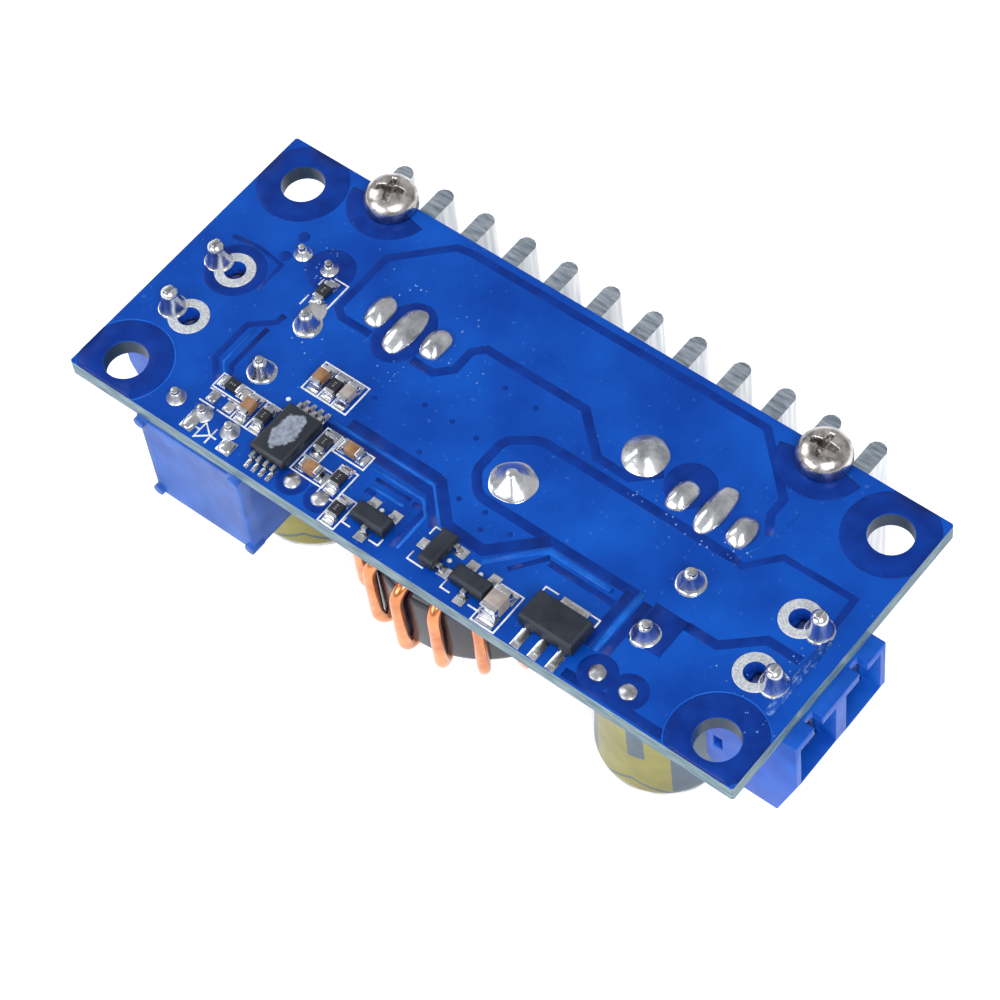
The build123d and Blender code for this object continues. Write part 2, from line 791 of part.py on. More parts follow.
def indicator_lamp():
    """The lamp's moulded lens with its flange, and its two leads."""
    top = under - lamp_gap
    flange_z = top - lamp_flange_h
    radius = lamp_d / 2
    dome_z = top - lamp_height + radius
    rings = []
    for degrees in (80, 50, 25, 0):
        angle = math.radians(degrees)
        rings.append((radius * math.cos(angle), dome_z - radius * math.sin(angle)))
    lens = ringed(lamp_x, lamp_y, rings + [(radius, flange_z)], small_sides)
    lens += bar(lamp_x, lamp_y, lamp_flange_d / 2, flange_z, top, small_sides)
    leads = []
    for x, y in lamp_lead_places:
        low = top - lamp_flange_h / 2
        lead = bar(x, y, lamp_lead_d / 2, low, lamp_lead_protrusion, lead_sides)
        lens -= lead
        leads.append(lead)
    return lens, leads


def turned_size(length, width, along_x):
    """Length and width as sizes along X and Y."""
    return (length, width) if along_x else (width, length)


def chip_part(place, length, width, height):
    """Body and two metal ends of a chip part, and its two pads."""
    x, y, along_x = place
    dx, dy = turned_size(1, 0, along_x)
    end = length * end_cap_share
    low = pad_height
    body_x, body_y = turned_size(length - 2 * end, width, along_x)
    body = block(x - body_x / 2, x + body_x / 2, y - body_y / 2, y + body_y / 2, low, low + height)
    ends = []
    pads = []
    for side in (-1, 1):
        cx = x + side * dx * (length - end) / 2
        cy = y + side * dy * (length - end) / 2
        ex, ey = turned_size(end, width, along_x)
        ends.append(block(cx - ex / 2, cx + ex / 2, cy - ey / 2, cy + ey / 2, low, low + height))
        pad_length = length * 0.5
        px = x + side * dx * length * 0.55
        py = y + side * dy * length * 0.55
        sx, sy = turned_size(pad_length, width * 1.1, along_x)
        pads.append(block(px - sx / 2, px + sx / 2, py - sy / 2, py + sy / 2, 0, low))
    return body, ends, pads


def moulded_body(x, y, size_x, size_y, low, high, turn):
    """A moulded body with its top edges chamfered."""
    body = Box(size_x, size_y, high - low)
    body = chamfer(body.faces().sort_by(Axis.Z)[-1].edges(), body_chamfer)
    return Pos(bx(x), by(y), (low + high) / 2) * Rot(0, 0, turn) * body


def gull_lead(x, y, turn, width, inner, outer, knee_height, foot):
    """One bent lead, from inside the body's edge at inner out to outer, foot on the pad."""
    t = gull_thickness
    low = pad_height
    knee = outer - foot
    shoulder = Pos((inner + knee + t) / 2, 0, knee_height - t / 2) * Box(knee + t - inner, width, t)
    drop = Pos(knee + t / 2, 0, (low + knee_height) / 2) * Box(t, width, knee_height - low)
    toe = Pos((knee + outer) / 2, 0, low + t / 2) * Box(outer - knee, width, t)
    return Pos(bx(x), by(y), 0) * Rot(0, 0, turn) * (shoulder + drop + toe)


def flat_pad(x, y, turn, distance, length, width):
    """One pad, at a distance from a place in the turned direction."""
    pad = Pos(distance, 0, pad_height / 2) * Box(length, width, pad_height)
    return Pos(bx(x), by(y), 0) * Rot(0, 0, turn) * pad


def control_chip():
    """The eight-pin control chip."""
    low = pad_height + 0.05
    high = low + control_body_z
    size = (control_body_x, control_body_y)
    body = moulded_body(control_chip_x, control_chip_y, *size, low, high, 0)
    knee = low + control_body_z / 2
    leads = []
    pads = []
    outer = control_pin_span / 2
    for k in (-1.5, -0.5, 0.5, 1.5):
        x = control_chip_x + k * control_pin_pitch
        for turn in (90, -90):
            inner = control_body_y / 2
            leads.append(gull_lead(x, control_chip_y, turn, control_pin_width, inner, outer, knee, 0.6))
            pads.append(flat_pad(x, control_chip_y, turn, outer - 0.35, 1.1, control_pin_width * 1.2))
    return body, leads, pads


def three_pin_parts():
    """The small transistors: bodies, bent leads and pads."""
    bodies = []
    leads = []
    pads = []
    low = pad_height + 0.05
    outer = sot_pin_span / 2
    for x, y, turn in transistor_places:
        bodies.append(moulded_body(x, y, sot_length, sot_width, low, low + sot_height, turn))
        angle = math.radians(turn)
        for along, way in ((-sot_pin_pitch / 2, 90), (sot_pin_pitch / 2, 90), (0, -90)):
            px = x + along * math.cos(angle)
            py = y + along * math.sin(angle)
            inner = sot_width / 2
            knee = low + sot_height / 2
            leads.append(gull_lead(px, py, turn + way, sot_pin_width, inner, outer, knee, 0.4))
            pads.append(flat_pad(px, py, turn + way, outer, 0.9, sot_pin_width * 2))
    return bodies, leads, pads


def regulator():
    """The flat regulator: body, three short leads and the tab on the far side."""
    x = regulator_x
    y = regulator_y
    low = pad_height + gull_thickness
    half = regulator_width / 2
    body = moulded_body(x, y, regulator_length, regulator_width, low, low + regulator_height, 0)
    metal = []
    pads = []
    for k in (-1, 0, 1):
        px = x + k * regulator_pin_pitch
        half_w = regulator_pin_width / 2
        y_out = y - half - regulator_pin_reach
        metal.append(block(px - half_w, px + half_w, y_out, y, pad_height, low))
        pads.append(block(px - half_w - 0.15, px + half_w + 0.15, y_out - 0.35, y - half, 0, pad_height))
    half_w = regulator_tab_width / 2
    y_far = y + half + regulator_tab_reach
    metal.append(block(x - half_w, x + half_w, y + 0.2, y_far, pad_height, low))
    pads.append(block(x - half_w - 0.15, x + half_w + 0.15, y + half, y_far + 0.25, 0, pad_height))
    return body, metal, pads


def solder_cone(x, y, base_r, top_r, height, lead):
    """A hollow-sided cone of solder round a lead; lead is the solid that it grips."""
    middle_r = top_r + (base_r - top_r) * 0.28
    rings = [(base_r, 0), (middle_r, height * 0.42), (top_r, height)]
    return ringed(x, y, rings, lead_sides) - lead


def solder_dome(x, y, radius, height, lead):
    """A rounded drop of solder, over or round a lead."""
    rings = [(radius, 0), (radius * 0.85, height * 0.6), (radius * 0.5, height)]
    dome = ringed(x, y, rings, small_sides)
    return dome - lead if lead is not None else dome


def solder_oval(x, y, width, length, height, lead):
    """An oval mound of solder over a flat lead."""
    outline = Rectangle(width, length)
    outline = chamfer(outline.vertices(), width * 0.3)
    shape = extrude(outline, height)
    shape = chamfer(shape.faces().sort_by(Axis.Z)[-1].edges(), min(height, width / 2) * 0.6)
    return Pos(bx(x), by(y), 0) * shape - lead


# Board and heatsink
save("circuit_board", [circuit_board()])
save("wire_hole_rings", wire_hole_rings())
save("heatsink", [heatsink()])
save("board_screws", board_screws())

# Power packages
switch_body, switch_metal = power_package(switch_x)
rectifier_body, rectifier_metal = power_package(rectifier_x)
save("switch_transistor_body", [switch_body])
save("switch_transistor_frame", switch_metal)
save("rectifier_body", [rectifier_body])
save("rectifier_frame", rectifier_metal)
save("insulating_pads", insulating_pads())
save("insulating_bushes", insulating_bushes())
save("tab_screws", tab_screws())

# Inductor
winding = inductor_winding()
save("inductor_core", [inductor_core()])
save("inductor_winding", [winding])

# Electrolytic capacitors
capacitor_leads = []
for name, x, y, lean in (
    ("input_capacitor", input_capacitor_x, input_capacitor_y, input_capacitor_lean),
    ("output_capacitor", output_capacitor_x, output_capacitor_y, output_capacitor_lean),
):
    can, sleeve, bung, leads = capacitor(x, y, lean)
    save(name + "_can", [can])
    save(name + "_sleeve", [sleeve])
    save(name + "_bung", [bung])
    save(name + "_leads", leads)
    capacitor_leads += leads

# Trimmer
pins = trimmer_pins()
save("trimmer_housing", [trimmer_housing()])
save("trimmer_screw", [trimmer_screw()])
save("trimmer_pins", pins)

# Terminal blocks
contact_strips = []
for name, front_x, out in (
    ("input_terminal", input_front_x, -1),
    ("output_terminal", output_front_x, 1),
):
    terminal = Terminal(front_x, out)
    strips = terminal.contacts()
    save(name + "_housing", [terminal.housing()])
    save(name + "_contacts", strips)
    contact_strips += strips
    for side, y in zip(("near", "far"), pole_ys):
        save(name + "_clamp_" + side, [terminal.clamp(y)])
        save(name + "_screw_" + side, [terminal.screw(y)])

# Indicator lamp
lens, lamp_leads = indicator_lamp()
save("indicator_lamp", [lens])
save("indicator_lamp_leads", lamp_leads)

# Surface-mounted parts
small = (small_chip_length, small_chip_width)
resistors = [chip_part(place, *small, resistor_height) for place in resistor_places]
tans = [chip_part(place, *small, capacitor_chip_height) for place in tan_capacitor_places]
pale = chip_part(pale_capacitor_place, *small, capacitor_chip_height)
large = chip_part(large_capacitor_place, large_chip_length, large_chip_width, large_chip_height)
save("chip_resistor_bodies", [part[0] for part in resistors])
save("chip_resistor_ends", [end for part in resistors for end in part[1]])
save("chip_capacitor_bodies", [part[0] for part in tans])
save("pale_capacitor_bodies", [pale[0], large[0]])
save("chip_capacitor_ends", [end for part in tans + [pale, large] for end in part[1]])
chip_body, chip_leads, chip_pads = control_chip()
save("control_chip_body", [chip_body])
save("control_chip_leads", chip_leads)
small_bodies, small_leads, small_pads = three_pin_parts()
save("small_transistor_bodies", small_bodies)
save("small_transistor_leads", small_leads)
regulator_body, regulator_metal, regulator_pads = regulator()
save("regulator_body", [regulator_body])
save("regulator_leads", regulator_metal)
pads = [pad for part in resistors + tans + [pale, large] for pad in part[2]]
pads += chip_pads + small_pads + regulator_pads
for x, y, sx, sy in bare_pads:
    pad = block(x - sx / 2, x + sx / 2, y - sy / 2, y + sy / 2, 0, pad_height)
    for pin_x, pin_y in trimmer_pin_places:
        pad -= bar(pin_x, pin_y, trimmer_joint_r, -1, 1, lead_sides)
    pads.append(pad)
save("solder_pads", pads)

# Solder joints
mounds = []
for metal, centre_x, sizes in (
    (switch_metal, switch_x, switch_mounds),
    (rectifier_metal, rectifier_x, rectifier_mounds),
):
    for lead, (x, y), (width, length) in zip(metal[1:], package_lead_places(centre_x), sizes):
        mounds.append(solder_oval(x, y + mound_offset_y, width, length, mound_height, lead))
save("solder_power_leads", mounds)

cones = []
places = capacitor_lead_places(input_capacitor_x, input_capacitor_y)
places += capacitor_lead_places(output_capacitor_x, output_capacitor_y)
for (x, y), lead in zip(places, capacitor_leads):
    cones.append(solder_cone(x, y, capacitor_joint_r, capacitor_lead_d * 0.8, capacitor_joint_h, lead))
save("solder_capacitors", cones)

cones = []
for (x, y), strip in zip(contact_pin_places, contact_strips):
    cones.append(solder_cone(x, y, terminal_joint_r, contact_pin_r * 1.15, terminal_joint_h, strip))
save("solder_terminals", cones)

cones = []
for (x, y), pin in zip(trimmer_pin_places, pins):
    cones.append(solder_cone(x, y, trimmer_joint_r, trimmer_pin_d * 0.7, trimmer_joint_h, pin))
save("solder_trimmer", cones)

cones = []
for (x, y), lead in zip(lamp_lead_places, lamp_leads):
    cones.append(solder_cone(x, y, lamp_joint_r, lamp_lead_d * 0.7, lamp_joint_h, lead))
save("solder_lamp", cones)

inner_joint = solder_cone(inner_end_x, inner_end_y, inductor_joint_r, wire_d * 0.6, inductor_joint_h, winding)
outer_joint = solder_dome(outer_end_x, outer_end_y, inductor_joint_r, outer_joint_h, winding)
save("solder_inductor", [inner_joint, outer_joint])

points = []
for x, y in test_point_places:
    for k in (0, 1):
        points.append(solder_dome(x + k * test_point_pitch, y, test_point_d / 2, test_point_h, None))
save("solder_test_points", points)
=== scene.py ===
# %% [markdown]
# # A boost converter module, solder side up
#
# The real object is a small blue circuit board that raises a voltage. It lies upside
# down on its tall parts: two capacitors and a finned heatsink. What shows is the solder
# side, with copper under blue lacquer, white printed lines, tiny chips and bright
# solder. The solid pieces come from a CAD model, packed as a frame, and this lesson
# dresses them. Everything is in metres and in the CAD model's own frame, so a piece
# that is worked out from the board's sizes lands on the solid with no fitting.

import math

import bmesh
import bpy
import numpy as np
from mathutils import Matrix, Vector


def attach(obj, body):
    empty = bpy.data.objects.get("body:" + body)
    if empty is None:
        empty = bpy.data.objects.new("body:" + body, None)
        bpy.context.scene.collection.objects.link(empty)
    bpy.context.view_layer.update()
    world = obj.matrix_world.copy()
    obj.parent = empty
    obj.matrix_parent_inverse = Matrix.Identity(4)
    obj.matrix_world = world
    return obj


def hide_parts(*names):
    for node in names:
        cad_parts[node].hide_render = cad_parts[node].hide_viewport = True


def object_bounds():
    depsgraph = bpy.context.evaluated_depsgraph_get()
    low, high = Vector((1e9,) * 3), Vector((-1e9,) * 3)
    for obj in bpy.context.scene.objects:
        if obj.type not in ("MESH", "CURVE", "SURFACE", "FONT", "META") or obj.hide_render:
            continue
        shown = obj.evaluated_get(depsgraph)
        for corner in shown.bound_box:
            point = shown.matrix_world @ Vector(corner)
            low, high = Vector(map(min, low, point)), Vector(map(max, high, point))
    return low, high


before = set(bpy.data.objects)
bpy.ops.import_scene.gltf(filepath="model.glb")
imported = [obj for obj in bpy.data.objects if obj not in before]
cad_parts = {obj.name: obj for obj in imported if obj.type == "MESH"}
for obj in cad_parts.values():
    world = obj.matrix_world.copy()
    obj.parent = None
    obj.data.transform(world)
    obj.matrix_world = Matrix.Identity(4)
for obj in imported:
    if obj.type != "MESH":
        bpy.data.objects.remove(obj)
cad_low_high = [list(corner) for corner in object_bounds()]
print("CAD nodes:", len(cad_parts))

# %% [markdown]
# ## Sizes that many steps share
#
# Places on the board are easiest to read from its near left corner, in millimetres, as
# a ruler laid on the board would give them. One function turns them into metres in the
# frame, whose origin is the centre of the four mounting holes.

# %% The board's ruler
MM = 0.001
BOARD_LONG, BOARD_WIDE, BOARD_THICK = 58.8, 25.0, 1.4
HOLE_X, HOLE_Y, HOLE_SPAN_X, HOLE_SPAN_Y = 3.3, 2.4, 52.5, 19.5
ORIGIN_X, ORIGIN_Y = HOLE_X + HOLE_SPAN_X / 2, HOLE_Y + HOLE_SPAN_Y / 2
MOUNT_HOLES = [(x, y) for y in (HOLE_Y, HOLE_Y + HOLE_SPAN_Y)
               for x in (HOLE_X, HOLE_X + HOLE_SPAN_X)]
SCREW_SPOTS = [(9.885, 24.3), (48.585, 24.3)]
CHIP_SPOT = (17.4, 3.95)
# The terminals' poles: across the board, their pins and their wire holes along it.
POLES_Y, PINS_X, WIRE_HOLES_X = (7.91, 12.99), (2.9, 56.35), (4.45, 54.8)
TEST_SPOTS = [(19.85, 1.5), (22.39, 1.5), (46.4, 1.8), (48.94, 1.8)]
INPUT_CAN, OUTPUT_CAN = (12.0, 9.8), (47.2, 8.5)
COIL_ENDS = [(32.4, 10.35), (38.45, 17.4)]
LEAD_PITCH = 2.54
REST_Z = cad_low_high[0][2] / MM
# What lies on the board starts a hair under its face, so that no gap shows.
UNDER = -0.02


def on_board(points):
    """Points in board millimetres, as metres in the frame: the origin's place is taken
    from x and y, and everything is divided by a thousand."""
    points = np.asarray(points, float)
    shift = np.zeros(points.shape[-1])
    shift[:2] = ORIGIN_X, ORIGIN_Y
    return (points - shift) * MM


def unit(vectors):
    """Vectors divided by their lengths."""
    return vectors / np.linalg.norm(vectors, axis=-1, keepdims=True)


print("left near corner of the board in the frame:", on_board([0, 0, 0]))

# %% [markdown]
# ## The camera
#
# The photograph looks down on a corner of the board with a long lens. The camera's
# place and turn were found by fitting a camera to the board's four corners and holes,
# so it needs no shift. The three rows give its right, down and forward directions.

# %% Camera
camera_data = bpy.data.cameras.new("camera")
camera = bpy.data.objects.new("camera", camera_data)
bpy.context.scene.collection.objects.link(camera)
camera_data.lens = 119.27
camera_data.sensor_width = 36.0
camera_data.clip_start = 0.01
camera_data.clip_end = 10.0
right = np.array([0.77656784, 0.62440475, -0.08403034])
down = np.array([0.48655025, -0.67908837, -0.54964338])
forward = np.array([-0.40026396, 0.38595039, -0.83116248])
turn = Matrix(np.column_stack([right, -down, -forward]).tolist()).to_4x4()
turn.translation = (0.093813, -0.091005, 0.188511)
camera.matrix_world = turn
bpy.context.scene.camera = camera
print("camera at", [round(v, 4) for v in camera.matrix_world.translation])

# %% [markdown]
# ## Building materials from nodes
#
# A finish is a small network: coordinates in millimetres feed noises and ramps, and
# those feed the colour, the roughness and the bump of one shader. These helpers keep
# each network to a few readable lines. A constant goes straight onto the shader's own
# socket, because the export keeps only those.

# %% Helpers for materials


def rgb(r, g, b):
    """An 8-bit display colour as a linear colour, by the sRGB curve."""
    c = np.array([r, g, b]) / 255.0
    linear = np.where(c <= 0.04045, c / 12.92, ((c + 0.055) / 1.055) ** 2.4)
    return (*[float(v) for v in linear], 1.0)


class Finish:
    """A material with a principled shader, and short ways to add and join nodes."""

    def __init__(self, name, colour, roughness, metallic=0.0):
        self.material = bpy.data.materials.new(name)
        self.material.use_nodes = True
        self.tree = self.material.node_tree
        self.tree.nodes.clear()
        output = self.tree.nodes.new("ShaderNodeOutputMaterial")
        self.shader = self.tree.nodes.new("ShaderNodeBsdfPrincipled")
        self.tree.links.new(self.shader.outputs[0], output.inputs[0])
        self.set("Base Color", colour)
        self.set("Roughness", roughness)
        self.set("Metallic", metallic)

    def set(self, socket, value):
        """Put a number, a colour or another node's output on one of the shader's sockets."""
        self.feed(self.shader, socket, value)

    def feed(self, node, socket, value):
        """Join value to a socket if it is an output, else write it there."""
        if isinstance(value, bpy.types.NodeSocket):
            self.tree.links.new(value, node.inputs[socket])
        else:
            node.inputs[socket].default_value = value

    def add(self, kind, inputs=(), **settings):
        """A node of one kind, with its settings and its inputs filled in."""
        node = self.tree.nodes.new("ShaderNode" + kind)
        for name, value in settings.items():
            setattr(node, name, value)
        for socket, value in dict(inputs).items():
            self.feed(node, socket, value)
        return node

    def millimetres(self, stretch=(1, 1, 1), shift=(0, 0, 0)):
        """Object coordinates in millimetres, stretched along each axis."""
        place = self.add("TexCoord").outputs["Object"]
        scale = tuple(1000.0 * s for s in stretch)
        mapping = self.add("Mapping", {"Vector": place, "Scale": scale, "Location": shift})
        return mapping.outputs[0]

    def noise(self, size, detail=3.0, stretch=(1, 1, 1), rough=0.5):
        """A noise whose blobs are about size millimetres across, from 0 to 1."""
        place = self.millimetres(stretch)
        inputs = {"Vector": place, "Scale": 1.0 / size, "Detail": detail, "Roughness": rough}
        return self.add("TexNoise", inputs).outputs["Fac"]

    def ramp(self, value, *stops):
        """Stretch a value over stops of (position, grey level)."""
        node = self.add("ValToRGB", {"Fac": value})
        elements = node.color_ramp.elements
        while len(elements) < len(stops):
            elements.new(0.5)
        for element, (position, level) in zip(elements, stops):
            element.position = position
            element.color = (level, level, level, 1.0)
        return node.outputs[0]

    def math(self, operation, a, b=0.0, c=0.0):
        """One arithmetic step."""
        node = self.add("Math", operation=operation)
        for index, value in enumerate((a, b, c)):
            self.feed(node, index, value)
        return node.outputs[0]

    def blend(self, factor, a, b):
        """Two colours mixed by a factor."""
        node = self.add("Mix", data_type="RGBA")
        self.feed(node, 0, factor)
        self.feed(node, 6, a)
        self.feed(node, 7, b)
        return node.outputs[2]

    def bump(self, height, distance, strength):
        """Bump from a height, with its distance in millimetres."""
        inputs = {"Height": height, "Distance": distance * MM, "Strength": strength}
        self.set("Normal", self.add("Bump", inputs).outputs[0])

    def part(self, vector, axis):
        """One of the three coordinates of a vector."""
        return self.add("SeparateXYZ", {"Vector": vector}).outputs[axis]


def dress(name, finish):
    """Give a CAD node one finish."""
    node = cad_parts[name]
    node.data.materials.clear()
    node.data.materials.append(finish.material)


print("material helpers are ready")

# %% [markdown]
# ## Stage and light
#
# The photograph is a catalogue picture: a white ground, and large soft lamps all round.
# The floor lies where the module rests. It is lit like everything else and keeps the
# shadow, and it is lifted to white only for the eye and for reflections.

# %% Floor
floor_mesh = bpy.data.meshes.new("floor")
reach = 3.0
corners = [(-reach, -reach), (reach, -reach), (reach, reach), (-reach, reach)]
floor_mesh.from_pydata([(x, y, REST_Z * MM) for x, y in corners], [], [(0, 1, 2, 3)])
floor = bpy.data.objects.new("floor", floor_mesh)
bpy.context.scene.collection.objects.link(floor)
white = Finish("floor_white", rgb(240, 241, 243), roughness=0.9)
path = white.add("LightPath")
seen = white.math("MAXIMUM", path.outputs["Is Camera Ray"], path.outputs["Is Glossy Ray"])
seen = white.math("MAXIMUM", seen, path.outputs["Is Transmission Ray"])
white.set("Emission Color", rgb(255, 255, 255))
white.set("Emission Strength", white.math("MULTIPLY", seen, 0.5))
floor_mesh.materials.append(white.material)
print("floor lies at", round(REST_Z, 2), "mm")

# %% World and lamps
world = bpy.data.worlds.new("studio")
bpy.context.scene.world = world
world.use_nodes = True
sky = world.node_tree
background = sky.nodes["Background"].inputs
background["Color"].default_value = (1.0, 1.0, 1.0, 1.0)
# The world's strength is 0.5, and 1 where the camera sees it.
rays = sky.nodes.new("ShaderNodeLightPath")
lift = sky.nodes.new("ShaderNodeMath")
lift.operation = "MULTIPLY_ADD"
lift.inputs[1].default_value = 0.5
lift.inputs[2].default_value = 0.5
sky.links.new(rays.outputs["Is Camera Ray"], lift.inputs[0])
sky.links.new(lift.outputs[0], background["Strength"])


def lamp(name, place, size, power):
    """A soft lamp at place, turned to face the origin; its power is in watts."""
    data = bpy.data.lights.new(name, "AREA")
    data.shape = "RECTANGLE"
    data.size, data.size_y = size
    data.energy = power
    lamp_object = bpy.data.objects.new(name, data)
    bpy.context.scene.collection.objects.link(lamp_object)
    direction = unit(-np.array(place))
    side = unit(np.cross(direction, (0.0, 0.0, 1.0)))
    up = np.cross(side, direction)
    frame_of_lamp = Matrix(np.column_stack([side, up, -direction]).tolist()).to_4x4()
    frame_of_lamp.translation = place
    lamp_object.matrix_world = frame_of_lamp


lamp("key_lamp", (0.34, -0.22, 0.40), (0.30, 0.30), 2.0)
lamp("front_lamp", (-0.16, -0.42, 0.26), (0.40, 0.24), 1.1)
lamp("left_lamp", (-0.42, -0.04, 0.30), (0.24, 0.24), 0.5)
bpy.context.scene.view_settings.view_transform = "Standard"
print("stage and lamps are set")

# %% [markdown]
# ## Building meshes from rings
#
# Most small parts are a row of rings with skin between them: a wire is rings along a
# path, a turned part is rings round an axis, and a printed line is four-point rings
# along its course. One function skins the rings, and one makes an object of the shells
# and says which CAD node it stands for.

# %% Helpers for meshes


def skin(rings, closed=False):
    """Points, quads and triangles of a shell: quads between ring i and ring i + 1, each
    ring closed on itself. A closed row joins its last ring to its first, and an open row
    gets a fan to the middle of each end ring."""
    count, sides = rings.shape[:2]
    index = np.arange(count * sides).reshape(count, sides)
    if closed:
        index = np.vstack([index, index[:1]])
    turned = np.roll(index, -1, axis=1)
    quads = np.stack([index[:-1], turned[:-1], turned[1:], index[1:]], axis=-1).reshape(-1, 4)
    points = rings.reshape(-1, 3)
    if closed:
        return points, quads, np.zeros((0, 3), int)
    points = np.vstack([points, rings[[0, -1]].mean(axis=1)])
    low = np.stack([np.full(sides, count * sides), turned[0], index[0]], axis=-1)
    high = np.stack([np.full(sides, count * sides + 1), index[-1], turned[-1]], axis=-1)
    return points, quads, np.vstack([low, high])


def revolve(profile, sides):
    """Rings of a turned part: x = r cos a, y = r sin a, with (r, z) down the profile."""
    profile = np.asarray(profile, float)
    angle = np.linspace(0, 2 * np.pi, sides, endpoint=False)
    radius, height = profile[:, :1], profile[:, 1:]
    flat = np.ones_like(angle)
    return np.stack([radius * np.cos(angle), radius * np.sin(angle), height * flat], axis=-1)


def outward(mesh):
    """Turn the faces of closed shells outward."""
    work = bmesh.new()
    work.from_mesh(mesh)
    bmesh.ops.recalc_face_normals(work, faces=work.faces)
    work.to_mesh(mesh)
    work.free()


def piece(name, shells, finish, nodes=(), smooth=True):
    """One object from shells in board millimetres. It rides the module, and may stand
    for CAD nodes and carry a material slot."""
    sizes = [len(points) for points, quads, triangles in shells]
    starts = np.concatenate([[0], np.cumsum(sizes)[:-1]])
    points = np.vstack([shell[0] for shell in shells])
    quads = np.vstack([shell[1] + start for shell, start in zip(shells, starts)])
    triangles = np.vstack([shell[2] + start for shell, start in zip(shells, starts)])
    mesh = bpy.data.meshes.new(name)
    mesh.from_pydata(on_board(points).tolist(), [], quads.tolist() + triangles.tolist())
    outward(mesh)
    if smooth:
        mesh.polygons.foreach_set("use_smooth", np.ones(len(mesh.polygons), bool))
    mesh.materials.append(finish.material)
    settle(bpy.data.objects.new(name, mesh), nodes, "module")


def settle(thing, nodes, body):
    """Put an object in the scene, on its body, in place of its CAD nodes."""
    bpy.context.scene.collection.objects.link(thing)
    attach(thing, body)
    if nodes:
        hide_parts(*nodes)
    return thing


def softened(node, finish, width, body="module", steps=2):
    """A CAD node's own shape with its edges rounded by width millimetres: its corners
    are joined, then a bevel runs along every edge sharper than 30 degrees."""
    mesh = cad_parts[node].data.copy()
    work = bmesh.new()
    work.from_mesh(mesh)
    bmesh.ops.remove_doubles(work, verts=work.verts, dist=2e-6)
    work.to_mesh(mesh)
    work.free()
    mesh.polygons.foreach_set("use_smooth", np.ones(len(mesh.polygons), bool))
    mesh.materials.clear()
    mesh.materials.append(finish.material)
    thing = settle(bpy.data.objects.new(node + "_soft", mesh), [node], body)
    bevel = thing.modifiers.new("edges", "BEVEL")
    bevel.width = width * MM
    bevel.segments = steps
    bevel.limit_method = "ANGLE"
    bevel.angle_limit = math.radians(30)
    bevel.harden_normals = True


def moved(points, x, y, degrees=0.0):
    """Points turned about +Z by an angle a, x' = x cos a - y sin a, and carried to x, y."""
    a = math.radians(degrees)
    turn = np.array([[math.cos(a), -math.sin(a), 0], [math.sin(a), math.cos(a), 0], [0, 0, 1]])
    return points @ turn.T + np.array([x, y, 0])


def rounded_path(corners, reach, steps=6):
    """A path with each inner corner c eased from a to b, the points reach away from it:
    (1 - t)^2 a + 2 t (1 - t) c + t^2 b."""
    corners = np.asarray(corners, float)
    inner = corners[1:-1]
    a = inner + unit(corners[:-2] - inner) * reach
    b = inner + unit(corners[2:] - inner) * reach
    t = np.linspace(0, 1, steps)[None, :, None]
    bends = (1 - t) ** 2 * a[:, None] + 2 * t * (1 - t) * inner[:, None] + t**2 * b[:, None]
    return np.vstack([corners[:1], bends.reshape(-1, corners.shape[1]), corners[-1:]])


def ribbon(course, width, height, slope=0.06, closed=False):
    """A flat strip of lacquer or ink along a course on the board's face. Each station is
    offset to both sides along the mean m of its two neighbouring normals, by half the
    width over m . n, and the strip's edges slope down to just under the face. What
    would reach past the board's outline is pulled back to it."""
    course = np.asarray(course, float)
    if closed:
        before, after = np.roll(course, 1, axis=0), np.roll(course, -1, axis=0)
    else:
        before = np.vstack([2 * course[:1] - course[1:2], course[:-1]])
        after = np.vstack([course[1:], 2 * course[-1:] - course[-2:-1]])
    one, two = unit(course - before), unit(after - course)
    side_one = np.column_stack([-one[:, 1], one[:, 0]])
    side_two = np.column_stack([-two[:, 1], two[:, 0]])
    mean = unit(side_one + side_two)
    mean /= np.maximum((mean * side_one).sum(axis=1, keepdims=True), 0.5)
    half = width / 2
    offsets = np.array([-half, -half + slope, half - slope, half])
    levels = np.array([UNDER, height, height, UNDER])
    flat = course[:, None] + mean[:, None] * offsets[None, :, None]
    flat = np.clip(flat, 0.01, [BOARD_LONG - 0.01, BOARD_WIDE - 0.01])
    tall = np.broadcast_to(levels, (len(course), 4))[..., None]
    return skin(np.concatenate([flat, tall], axis=-1), closed)


def circle(x, y, radius, start=0, end=360, count=36):
    """Points on a circle or an arc, x + r cos a, y + r sin a."""
    a = np.radians(np.linspace(start, end, count, endpoint=end - start < 360))
    return np.column_stack([x + radius * np.cos(a), y + radius * np.sin(a)])


def oblong(x0, y0, x1, y1):
    """The four corners of an upright rectangle."""
    return np.array([[x0, y0], [x1, y0], [x1, y1], [x0, y1]], float)


def disc(x, y, radius, height, sides=28):
    """A low round patch, its rim sloping into the board."""
    profile = [(radius, UNDER), (radius - 0.05, height), (0.01, height)]
    points, quads, triangles = skin(revolve(profile, sides))
    return moved(points, x, y), quads, triangles


def stacked(shells, step=0.0006):
    """The same strips, each a hair above the one before, so that no two faces coincide."""
    return [(points + np.array([0, 0, k * step]), quads, triangles)
            for k, (points, quads, triangles) in enumerate(shells)]


print("mesh helpers are ready")

# %% [markdown]
# ## Finishes
#
# The real materials are few: lacquer over copper, tin, solder, aluminium, moulded
# plastic, enamelled wire and printed film. Each gets small unevenness in colour and
# roughness, because nothing on a soldered board is even.

